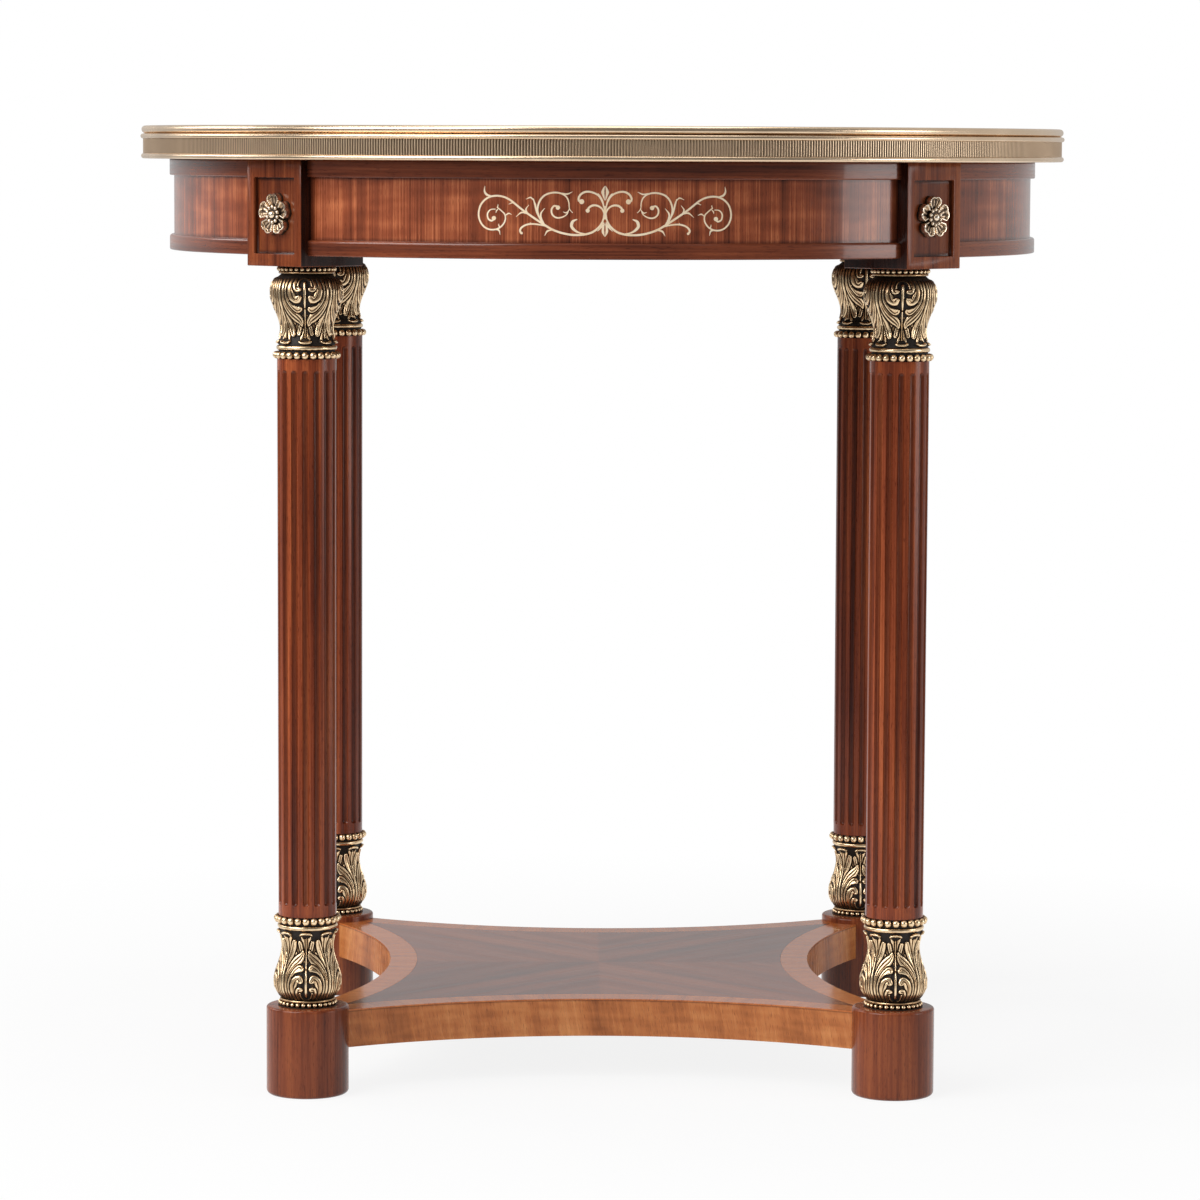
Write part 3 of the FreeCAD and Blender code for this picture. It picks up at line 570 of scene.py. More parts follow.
def buildBlock(corner, degrees, look):
    low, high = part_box("corner_block_" + corner)
    axis = middleOf("foot_" + corner)
    half, reach = friezeSizes["blockHalf"], friezeSizes["blockReach"]
    bottom, top = low.z, high.z
    shape = bmesh.new()

    def ringAt(x, sideways, zLow, zHigh):
        return [shape.verts.new((x, y, z)) for y, z in
                ((-sideways, zLow), (sideways, zLow), (sideways, zHigh), (-sideways, zHigh))]

    back = ringAt(-half, half, bottom, top)
    front = ringAt(reach, half, bottom, top)
    panelLow, panelTop = bottom + look["bottomMargin"], top - look["topMargin"]
    mouth = ringAt(reach, look["panelHalf"], panelLow, panelTop)
    floorReach = reach - look["panelDepth"]
    floor = ringAt(floorReach, look["panelHalf"], panelLow, panelTop)
    # an inner ring on the panel floor, where the painted shade fades out
    inset = look["paintedShadeReach"]
    middle = ringAt(floorReach, look["panelHalf"] - inset, panelLow + inset, panelTop - inset)
    shape.faces.new(back[::-1])
    shape.faces.new(middle)
    for a, b in ((back, front), (front, mouth), (mouth, floor), (floor, middle)):
        for k in range(4):
            n = (k + 1) % 4
            shape.faces.new((a[k], a[n], b[n], b[k]))
    bmesh.ops.recalc_face_normals(shape, faces=shape.faces)
    bent = [edge for edge in shape.edges if edge.calc_face_angle(0) > look["bentAngle"]]
    bmesh.ops.bevel(shape, geom=bent, offset=look["ease"], segments=look["easeSteps"], profile=0.5,
                    affect="EDGES")
    local = np.array([v.co for v in shape.verts])
    points = moved(local, degrees, (axis.x, axis.y, 0))
    hair = look["hair"]
    # Painted shade in the sunk panel, heavy by its walls and light on its floor; the side faces stained dark
    # all over, which also stands for the shade of the gap beside the frieze
    onSide = np.abs(local[:, 1]) > half - hair
    behindFace = (local[:, 0] > 0) & (local[:, 0] < reach - look["ease"] - hair)
    nearWall = np.abs(local[:, 1]) > look["panelHalf"] - look["ease"] - hair
    nearWall |= local[:, 2] < panelLow + inset - hair
    nearWall |= local[:, 2] > panelTop - inset + hair
    inPanel = np.where(nearWall, look["wallPaintedShade"], look["floorPaintedShade"])
    shadeAndStain = np.where(onSide, 1.0, np.where(behindFace, inPanel, 0.0))
    shape.verts.index_update()
    faces = [[v.index for v in face.verts] for face in shape.faces]
    shape.free()
    addPiece("block_" + corner, points, faces, mahogany, ["corner_block_" + corner],
             look["sharp"], {"shadeAndStain": shadeAndStain})


for corner, degrees in corners.items():
    buildBlock(corner, degrees, blockSizes)
print("corner blocks built")

# Rosettes: five dished petals with rolled rims round a ring of beads and a domed eye
rosetteSizes = {
    "petals": 5, "radius": 0.0159, "height": 0.0056, "turns": 300, "rings": 64, "innerShare": 0.01,
    "narrowing": 0.30, "notch": 0.05, "notchWidth": 0.12,
    "gapHalf": 0.0003, "gapStart": 0.0002, "gapFade": 0.0006,
    "rim": 0.0012, "rollWidth": 0.75, "rollLow": 0.62, "cupLow": 0.30, "cupRise": 0.42, "cupStart": 1.4,
    "veinPitch": 22.0, "veinEnd": 0.86, "veinFade": 0.12, "veinRise": 0.12, "plate": 0.06,
    "well": 0.44, "wellFade": 0.08, "wellLevel": 0.30, "wellShine": 0.25, "rollShine": 1.6, "cupShine": 0.20,
    "veinShine": 0.50, "wallShine": 0.1,
    "eyeRadius": 0.0027, "eyeLevel": 0.0050, "eyeFacets": (28, 16), "eyeShine": 0.95,
    "beads": 10, "beadRadius": 0.00135, "beadCircle": 0.0056, "beadLevel": 0.0047,
    "beadFacets": (16, 10), "beadShine": 0.45, "postShine": 0.22, "sharp": 40,
}


def buildRosette(corner, degrees, look):
    node = "rosette_" + corner
    level = middleOf(node).z
    floorReach = friezeSizes["blockReach"] - blockSizes["panelDepth"]
    axis = middleOf("foot_" + corner)
    phi = fullTurn(look["turns"])
    petalHalf = math.pi / look["petals"]
    fromMiddle = (phi + petalHalf) % (2 * petalHalf) - petalHalf
    share = np.abs(fromMiddle) / petalHalf
    notch = look["notch"] * np.exp(-(fromMiddle / look["notchWidth"]) ** 2)
    outline = look["radius"] * (1 - look["narrowing"] * share ** 3 - notch)
    t = np.linspace(look["innerShare"], 1, look["rings"])[:, None]
    reach = t * outline
    edge = (1 - share) * petalHalf * reach  # distance to the line between two petals
    rim = np.minimum(outline - reach, edge - look["gapHalf"])
    roll = np.exp(-((rim - look["rim"]) / (look["rollWidth"] * look["rim"])) ** 4)
    veins = 0.5 + 0.5 * np.cos(fromMiddle * look["veinPitch"])
    veins = veins * rising(-t, -look["veinEnd"], look["veinFade"])
    inside = rising(rim / look["rim"], look["cupStart"], 1)
    # Each petal is a cup that rises to its rim
    rise = look["cupLow"] + look["cupRise"] * t ** 2 + look["veinRise"] * inside * veins
    rolled = roll * (look["rollLow"] + (1 - look["rollLow"]) * t)
    height = np.where(rim > look["rim"], np.maximum(rise, rolled), rolled)
    gap = rising(edge, look["gapStart"], look["gapFade"])
    height = look["plate"] + (1 - look["plate"]) * height * gap
    sunk = rising(t, look["well"], look["wellFade"])  # the petals start outside the ring of beads
    height = height * sunk + look["wellLevel"] * (1 - sunk)
    # Painted light on the relief mark: the rims painted bright as highlights besides their rub, the cups and
    # the lines between petals dark with patina and painted shade, and the well round the beads painted as
    # shade
    shine = look["rollShine"] * rolled * gap + inside * (look["cupShine"] + look["veinShine"] * veins)
    shine = np.clip(shine, 0, 1) * (look["wellShine"] + (1 - look["wellShine"]) * sunk)
    outward = np.vstack([look["height"] * height, np.zeros_like(outline)])
    reach = np.vstack([reach, outline])
    rows = np.stack([outward, -reach * np.sin(phi), reach * np.cos(phi)], -1)
    heap = Heap()
    # The outer wall, the bead backs and the post behind the beads dark as painted shade; the eye and the
    # bead fronts bright, rubbed brass with painted highlights
    heap.add(rows, cappedFaces(len(rows), look["turns"]),
             np.append(shine.ravel(), np.full(look["turns"], look["wallShine"])))
    points, faces = ball(look["eyeRadius"], *look["eyeFacets"])
    heap.add(points + np.array((look["eyeLevel"], 0, 0)), faces, look["eyeShine"])
    points, faces = ball(look["beadRadius"], *look["beadFacets"])
    beadShine = look["beadShine"] + (1 - look["beadShine"]) * points[:, 0] / look["beadRadius"]
    for turn in fullTurn(look["beads"]):
        sideways, up = look["beadCircle"] * math.sin(turn), look["beadCircle"] * math.cos(turn)
        heap.add(points + np.array((look["beadLevel"], sideways, up)), faces, np.clip(beadShine, 0, 1))
    points, faces = tube(look["beadCircle"], look["beadLevel"])
    heap.add(points, faces, look["postShine"])
    onBlock = np.array((floorReach, 0, 0))
    heap.points = [moved(p + onBlock, degrees, (axis.x, axis.y, level)) for p in heap.points]
    addHeap("rosette_flower_" + corner, heap, rosetteBrass, [node], look["sharp"])


for corner, degrees in corners.items():
    buildRosette(corner, degrees, rosetteSizes)
print("rosettes built")

# Fluted columns
columnSizes = {
    "flutes": 16, "fluteWidth": 0.0049, "fluteDepth": 0.0019, "endMargin": 0.008, "topRadius": 0.0217,
    "bottomRadius": 0.0214, "spigot": 0.013, "shadeAndStain": 0.52, "landSteps": 5, "endSteps": 9, "lengthSteps": 26,
    "fluteSteps": (-1.0, -0.97, -0.85, -0.65, -0.35, 0, 0.35, 0.65, 0.85, 0.97, 1.0), "sharp": 28,
}


def buildColumn(corner, look):
    axis = middleOf("foot_" + corner)
    bottom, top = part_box("base_" + corner)[1].z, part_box("capital_" + corner)[0].z
    halfWidth, depth = look["fluteWidth"] / 2, look["fluteDepth"]
    cutter = (halfWidth ** 2 + depth ** 2) / (2 * depth)
    low, high = bottom + look["endMargin"] + cutter, top - look["endMargin"] - cutter
    pitch = 2 * math.pi / look["flutes"]
    radius = (look["topRadius"] + look["bottomRadius"]) / 2
    steps = np.array(look["fluteSteps"]) * halfWidth
    land = np.linspace(halfWidth, pitch * radius - halfWidth, look["landSteps"])[1:-1]
    offsets = np.concatenate([steps, land])
    around = (np.arange(look["flutes"])[:, None] * pitch + offsets / radius - math.pi / 2).ravel()
    fromFlute = np.tile(np.where(offsets > halfWidth, halfWidth, offsets), look["flutes"])
    ends = np.sin(np.linspace(0, math.pi / 2, look["endSteps"]))
    ends = ends * math.sqrt(cutter ** 2 - (cutter - depth) ** 2)
    along = np.linspace(low, high, look["lengthSteps"])[1:-1]
    levels = np.concatenate([[bottom], low - ends[::-1], along, high + ends, [top]])
    past = np.maximum(np.maximum(low - levels, levels - high), 0)
    sag = np.sqrt(np.maximum(cutter ** 2 - fromFlute ** 2 - past[:, None] ** 2, 0))
    sag = np.maximum(sag - (cutter - depth), 0)
    taper = (look["topRadius"] - look["bottomRadius"]) / (top - bottom)
    surface = look["bottomRadius"] + (levels - bottom) * taper
    rows = np.vstack([turned(surface[:, None] - sag, around, levels[:, None]),
                      turned(look["spigot"], around, np.array([[top], [bottom]]))])
    # painted shade in the flutes, darkest at their bottoms
    shadeAndStain = np.vstack([look["shadeAndStain"] * np.sqrt(sag / depth), np.zeros((2, len(around)))])
    addPiece("fluted_shaft_" + corner, rows + np.array((axis.x, axis.y, 0)),
             gridFaces(len(rows), len(around), True, True), columnWood, ["column_" + corner],
             look["sharp"], {"shadeAndStain": shadeAndStain})


for corner in corners:
    buildColumn(corner, columnSizes)
print("columns built")

# Acanthus castings: half a leaf is drawn flat, as lobes and ribs, and repeated round the bell
castingSizes = {
    "bore": 0.0131, "seatRadius": 0.02185, "seatHeight": 0.0006,
    "smallBead": 0.00165, "smallCircle": 0.0202, "smallBeads": 30, "smallBed": 0.9,
    "collarRadius": 0.0198, "collarHeight": 0.0018, "collarSetIn": 0.0002,
    "leafZone": 0.0520, "relief": 0.0023, "cells": 8, "cellColumns": 52, "leafRows": 160,
    "flatWidth": 0.0173, "leafLength": 0.0481, "leafMargin": 0.06, "leafFade": 0.05,
    "ringRadius": 0.0018, "ringCrest": 0.0222, "ringGap": 0.0009,
    "largeBead": 0.0027, "largeCircle": 0.0222, "largeBeads": 24, "largeBed": 0.6,
    "beadFacets": (16, 9), "bellSteps": 16,
    # brightness on the turned rings: the beds behind the bead rows dark, patina with painted shade; the ring
    # bright on its crest where it is rubbed, darker at its edges as painted shade
    "seatShine": [0.1, 0.2, 0.25, 0.05, 0.05], "collarShine": [0.7] * 9, "bedShine": [0.05, 0.2, 0.2],
    "ringShine": [0.3, 0.5, 0.7, 0.85, 0.9, 0.9, 0.9, 0.85, 0.7, 0.5, 0.3], "beadShine": 0.55, "sharp": 60,
}
# Bells: pairs of height above the collar, as a share of the leaf zone, and radius
baseBell = {"footGap": 0.0016, "envelope": [
    (0.0, 0.0206), (0.065, 0.0228), (0.145, 0.0250), (0.236, 0.0257), (0.368, 0.0248), (0.495, 0.0225),
    (0.630, 0.0203), (0.752, 0.0194), (0.873, 0.0203), (0.958, 0.0221), (1.0, 0.0226)]}
capitalBell = {"footGap": 0.0040, "envelope": [
    (0.0, 0.0206), (0.065, 0.0243), (0.145, 0.0266), (0.236, 0.0275), (0.368, 0.0268), (0.495, 0.0243),
    (0.630, 0.0214), (0.752, 0.0198), (0.873, 0.0204), (0.958, 0.0221), (1.0, 0.0226)]}
leafCarving = {
    "dish": 0.12, "crown": 5, "veinDepth": 0.38, "veinWidth": 0.11, "veinStart": 0.075, "veinFade": 0.25,
    "lineWidth": 0.00075, "lineLevel": 0.05, "thinnest": 0.0002, "steps": 6, "softPasses": 1,
}
# Brightness of the leaves: polish on the high parts, patina and painted shade in the hollows, painted shade
# at the foot
leafPolishAndShade = {
    "height": 0.74, "hollows": 2.3, "least": 0.10, "fullAt": 0.30, "blurPasses": 24, "footReach": 0.10,
    "footShine": 0.45,
}


def leafLobe(path, width, height, veins=(), dish=leafCarving["dish"]):
    return {"path": path, "width": width, "height": height, "veins": veins, "dish": dish}


# Each lobe: points as shares from stem to midrib and from leaf foot to tip, half widths in millimetres from
# root to end, height at root and end, and where its veins run across it; later ones lie over earlier ones
leafLobes = [
    # low ground of the leaf, which leaves only the stem's channel and the gaps between the tips bare
    leafLobe([(0.52, 0.06), (0.52, 0.45), (0.52, 0.76)], (5.6, 6.3, 5.6), (0.40, 0.40), dish=0.0),
    # the small leaf behind the stem
    leafLobe([(0.0, 0.52), (0.0, 0.66), (0.0, 0.78), (0.0, 0.86)], (1.0, 3.9, 5.8, 5.0), (0.52, 0.62)),
    leafLobe([(0.10, 0.66), (0.24, 0.75), (0.32, 0.86)], (0.7, 1.8, 1.8), (0.65, 0.90), veins=(0.0,)),
    # blade of the main leaf, then its lobes from the midrib inwards to the stem
    leafLobe([(0.75, 0.0), (0.73, 0.22), (0.66, 0.36), (0.55, 0.44)], (5.6, 5.4, 4.2, 3.4), (0.60, 0.62)),
    leafLobe([(0.92, 0.40), (0.74, 0.57), (0.58, 0.68)], (2.5, 4.6, 2.4), (0.60, 0.62)),
    leafLobe([(1.0, 0.0), (1.0, 0.40), (1.0, 0.66), (1.0, 0.90)], (1.6, 1.8, 3.0, 3.6), (0.80, 0.90)),
    leafLobe([(0.95, 0.0), (0.95, 0.28), (0.93, 0.44), (0.86, 0.58), (0.76, 0.70), (0.66, 0.80),
             (0.60, 0.87)], (0.8, 0.9, 1.3, 2.3, 2.9, 2.8, 2.1), (0.75, 1.05), veins=(0.25,)),
    leafLobe([(0.835, 0.0), (0.83, 0.2), (0.815, 0.33), (0.73, 0.445), (0.57, 0.535), (0.38, 0.60),
             (0.22, 0.66), (0.15, 0.735)], (1.25, 1.3, 1.6, 2.6, 3.6, 3.9, 2.7, 0.8), (0.75, 1.0),
             veins=(-0.35, 0.3)),
    leafLobe([(0.685, 0.0), (0.68, 0.16), (0.63, 0.30), (0.47, 0.415), (0.30, 0.475), (0.215, 0.465)],
             (1.4, 1.5, 1.9, 2.4, 2.7, 2.2), (0.75, 1.0), veins=(0.3,)),
    leafLobe([(0.50, 0.0), (0.525, 0.12), (0.50, 0.22), (0.42, 0.30), (0.30, 0.325), (0.22, 0.285)],
             (1.6, 2.2, 2.7, 2.8, 2.7, 2.1), (0.75, 1.0), veins=(-0.2,)),
    leafLobe([(0.33, 0.0), (0.345, 0.07), (0.29, 0.145), (0.215, 0.150)], (1.3, 1.9, 2.2, 1.9),
             (0.75, 0.95), veins=(0.0,)),
    # the dark hollow between the second and the third lobe
    leafLobe([(0.57, 0.335), (0.43, 0.385), (0.25, 0.400)], (0.2, 0.45, 0.6), (0.0, 0.0)),
    # cupped tips of both leaves
    leafLobe([(0.0, 0.74), (0.0, 0.88), (0.0, 0.945)], (1.5, 2.9, 4.6), (0.80, 1.15), dish=0.55),
    leafLobe([(1.0, 0.72), (1.0, 0.87), (1.0, 0.945)], (1.8, 3.1, 4.7), (0.90, 1.20), dish=0.55),
    # the shade under each tip's rolled edge, then that edge
    leafLobe([(0.0, 0.955), (0.11, 0.960)], (1.0, 0.7), (0.30, 0.30), dish=0.0),
    leafLobe([(1.0, 0.955), (0.89, 0.960)], (1.0, 0.7), (0.30, 0.30), dish=0.0),
    leafLobe([(0.0, 1.006), (0.17, 1.002), (0.255, 0.985)], (1.0, 1.0, 0.9), (1.25, 1.20), dish=0.0),
    leafLobe([(1.0, 1.006), (0.83, 1.002), (0.745, 0.985)], (1.0, 1.0, 0.9), (1.30, 1.25), dish=0.0),
    # midrib, stem, the vein beyond the stem, and the rolled edge round its foot
    leafLobe([(1.0, 0.0), (1.0, 0.45), (1.0, 0.93)], (0.8, 0.8, 0.5), (0.95, 1.10)),
    leafLobe([(0.0, 0.045), (0.0, 0.30), (0.0, 0.47)], (0.95, 0.8, 0.6), (0.90, 0.85)),
    leafLobe([(0.0, 0.47), (0.0, 0.70), (0.0, 0.93)], (0.55, 0.5, 0.45), (0.85, 1.15)),
    leafLobe([(0.25, 0.10), (0.225, 0.03), (0.13, -0.01), (0.0, -0.022)], (0.5, 0.6, 0.6, 0.6),
             (0.85, 0.85)),
]


def nearLine(x, z, line, widths):
    # How far outside a line of changing width each point lies, and its shares across and along it
    outside = np.full(x.shape, 1.0)
    across = np.zeros_like(x)
    along = np.zeros_like(x)
    count = len(line) - 1
    for k in range(count):
        dx, dz = line[k + 1] - line[k]
        px, pz = x - line[k, 0], z - line[k, 1]
        t = np.clip((px * dx + pz * dz) / (dx * dx + dz * dz), 0, 1)
        away = np.hypot(px - t * dx, pz - t * dz)
        half = widths[k] + (widths[k + 1] - widths[k]) * t
        closer = away - half < outside
        outside = np.where(closer, away - half, outside)
        across = np.where(closer, np.sign(px * dz - pz * dx) * away / half, across)
        along = np.where(closer, (k + t) / count, along)
    return outside, across, along


def leafRows(look):
    return np.linspace(-look["leafMargin"], 1 + look["leafMargin"], look["leafRows"])


def leafRelief(look, carving):
    # Heights over half a leaf, as shares of the full relief, from foot to tip and from stem to midrib
    size = np.array([look["flatWidth"], look["leafLength"]])
    x, z = np.meshgrid(np.linspace(0, size[0], look["cellColumns"] + 1), leafRows(look) * size[1])
    field = np.zeros_like(x)
    for lobe in leafLobes:
        line = smoothCurve(np.array(lobe["path"]) * size, carving["steps"])
        widths = smoothCurve(np.array(lobe["width"])[:, None] / 1000, carving["steps"])[:, 0]
        outside, across, along = nearLine(x, z, line, np.maximum(widths, carving["thinnest"]))
        root, end = lobe["height"]
        dome = np.sqrt(np.clip(1 - np.abs(across) ** carving["crown"], 0, 1))
        dome = dome * (1 - lobe["dish"] * (1 - across ** 2))
        for vein in lobe["veins"]:
            groove = np.exp(-((across - vein) / carving["veinWidth"]) ** 2)
            groove = groove * rising(along, carving["veinStart"], carving["veinFade"])
            dome = dome - carving["veinDepth"] * groove
        beside = rising(outside, 0, carving["lineWidth"])  # a dark line round each lobe
        beside = carving["lineLevel"] + (1 - carving["lineLevel"]) * beside
        field = np.where(outside < 0, np.maximum((root + (end - root) * along) * dome, 0), field * beside)
    return field


def softened(field, passes):
    for step in range(passes):
        wide = np.pad(field, ((1, 1), (1, 1)), "edge")
        beside = wide[:-2, 1:-1] + wide[2:, 1:-1] + wide[1:-1, :-2] + wide[1:-1, 2:]
        field = (beside + 4 * wide[1:-1, 1:-1]) / 8
    return field


def leafBrightness(field, look, polish):
    # Bright on the high parts, dark in the hollows with patina and painted shade, and darker at the foot as
    # painted shade
    hollows = field - softened(field, polish["blurPasses"])
    shine = np.clip(polish["height"] * field + polish["hollows"] * hollows + polish["least"], 0, 1)
    shine = shine * rising(field, 0, polish["fullAt"])
    # painted shade at the foot of each leaf: by the collar on the bases, under the block on the capitals
    foot = rising(leafRows(look), 0, polish["footReach"])[:, None]
    return shine * (polish["footShine"] + (1 - polish["footShine"]) * foot)


halfLeaf = softened(leafRelief(castingSizes, leafCarving), leafCarving["softPasses"])
leafShine = leafBrightness(halfLeaf, castingSizes, leafPolishAndShade)


def buildCasting(name, node, bell, upsideDown, look):
    low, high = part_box(node)
    axis = (low + high) / 2
    cell = look["cellColumns"]
    columns = look["cells"] * cell
    steps = np.arange(columns)
    inCell, which = steps % cell, steps // cell
    fromStem = np.where(which % 2 == 0, inCell, cell - inCell)
    angles = fullTurn(columns)
    beadTop = look["seatHeight"] + 2 * look["smallBead"]
    collarTop = beadTop + look["collarHeight"]
    ringLow = collarTop + look["leafZone"]
    ringTop = ringLow + 2 * look["ringRadius"]
    beadLow = ringTop + look["ringGap"]
    top = beadLow + 2 * look["largeBead"]
    bed = look["smallCircle"] - look["smallBed"] * look["smallBead"]
    lower = [(look["bore"], 0), (look["seatRadius"], 0), (look["seatRadius"], look["seatHeight"]),
             (bed, look["seatHeight"]), (bed, beadTop)]
    collarMiddle = (look["collarRadius"] - look["collarSetIn"], beadTop + look["collarHeight"] / 2)
    lower += arcPoints(collarMiddle, look["collarHeight"] / 2, -90, 90, len(look["collarShine"]))
    envelope = smoothCurve(bell["envelope"], look["bellSteps"])
    levels = np.linspace(collarTop, ringLow, look["leafRows"])
    outer = np.interp((levels - collarTop) / look["leafZone"], envelope[:, 0], envelope[:, 1])
    leafSpan = look["leafLength"] - (bell["footGap"] - baseBell["footGap"])
    share = (levels - collarTop - bell["footGap"]) / leafSpan
    lastRow = look["leafRows"] - 1
    row = rising(share, -look["leafMargin"], 1 + 2 * look["leafMargin"]) * lastRow
    below = np.floor(row).astype(int)
    above = np.minimum(below + 1, lastRow)
    part = (row - below)[:, None]
    height = (halfLeaf[below] * (1 - part) + halfLeaf[above] * part)[:, fromStem]
    shine = (leafShine[below] * (1 - part) + leafShine[above] * part)[:, fromStem]
    fade = rising(share[:, None], -look["leafMargin"], look["leafFade"])
    reach = outer[:, None] - look["relief"] * (1 - height * fade)
    root = look["ringCrest"] - look["ringRadius"]
    upper = arcPoints((root, (ringLow + ringTop) / 2), look["ringRadius"], -90, 90, len(look["ringShine"]))
    bed = look["largeCircle"] - look["largeBed"] * look["largeBead"]
    upper += [(bed, ringTop), (bed, top), (look["bore"], top)]
    rows = np.vstack([spun(lower, angles), turned(reach, angles, levels[:, None]), spun(upper, angles)])
    # the leaves also fade to dark at their foot, more painted shade
    bright = np.concatenate([
        np.repeat(look["seatShine"] + look["collarShine"], columns), (shine * fade).ravel(),
        np.repeat(look["ringShine"] + look["bedShine"], columns)])
    heap = Heap()
    heap.add(rows, gridFaces(len(rows), columns, True, True), bright)
    for beads, under in (("small", look["seatHeight"]), ("large", beadLow)):
        size, circle, count = look[beads + "Bead"], look[beads + "Circle"], look[beads + "Beads"]
        level = under + size
        points, faces = ball(size, *look["beadFacets"])
        # each bead lighter on its outer side and darker towards the bell: painted light and shade
        outward = np.clip(look["beadShine"] + (1 - look["beadShine"]) * points[:, 0] / size, 0, 1)
        for turn in np.degrees(fullTurn(count)):
            heap.add(moved(points + np.array((circle, 0, level)), turn), faces, outward)
    flip = np.array((1, -1, -1) if upsideDown else (1, 1, 1))
    place = np.array((axis.x, axis.y, high.z if upsideDown else low.z))
    heap.points = [p * flip + place for p in heap.points]
    addHeap(name, heap, casting, [node], look["sharp"])


for corner in corners:
    buildCasting("acanthus_base_" + corner, "base_" + corner, baseBell, False, castingSizes)
    buildCasting("acanthus_capital_" + corner, "capital_" + corner, capitalBell, True, castingSizes)
print("acanthus castings built")

# Round feet
footSizes = {
    "topEase": 0.0020, "bottomEase": 0.0032, "socket": 0.01315, "socketDepth": 0.024, "screwHole": 0.0031,
    "counterbore": 0.008, "counterboreDepth": 0.020, "segments": 128, "bottomSteps": 9, "topSteps": 7,
}


def buildFoot(corner, look):
    low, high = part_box("foot_" + corner)
    axis = (low + high) / 2
    radius, top = (high.x - low.x) / 2, high.z
    profile = [(look["counterbore"], 0)]
    lowEase, highEase = look["bottomEase"], look["topEase"]
    profile += arcPoints((radius - lowEase, lowEase), lowEase, -90, 0, look["bottomSteps"])
    profile += arcPoints((radius - highEase, top - highEase), highEase, 0, 90, look["topSteps"])
    socketLow, boreTop = top - look["socketDepth"], look["counterboreDepth"]
    profile += [(look["socket"], top), (look["socket"], socketLow), (look["screwHole"], socketLow),
                (look["screwHole"], boreTop), (look["counterbore"], boreTop)]
    points = moved(spun(profile, fullTurn(look["segments"])), 0, (axis.x, axis.y, 0))
    addPiece("round_foot_" + corner, points, gridFaces(len(profile), look["segments"], True, True),
             mahogany, ["foot_" + corner])


for corner in corners:
    buildFoot(corner, footSizes)
print("feet built")

# Brass scroll inlay on the front panel, drawn from the middle of the panel to the right, then mirrored
inlaySizes = {
    "lift": 0.00006, "stagger": 0.000003, "depth": 0.0004, "line": 0.00135, "steps": 8, "ballSides": 24,
    "ballEnd": 0.02, "sharp": 35,
}
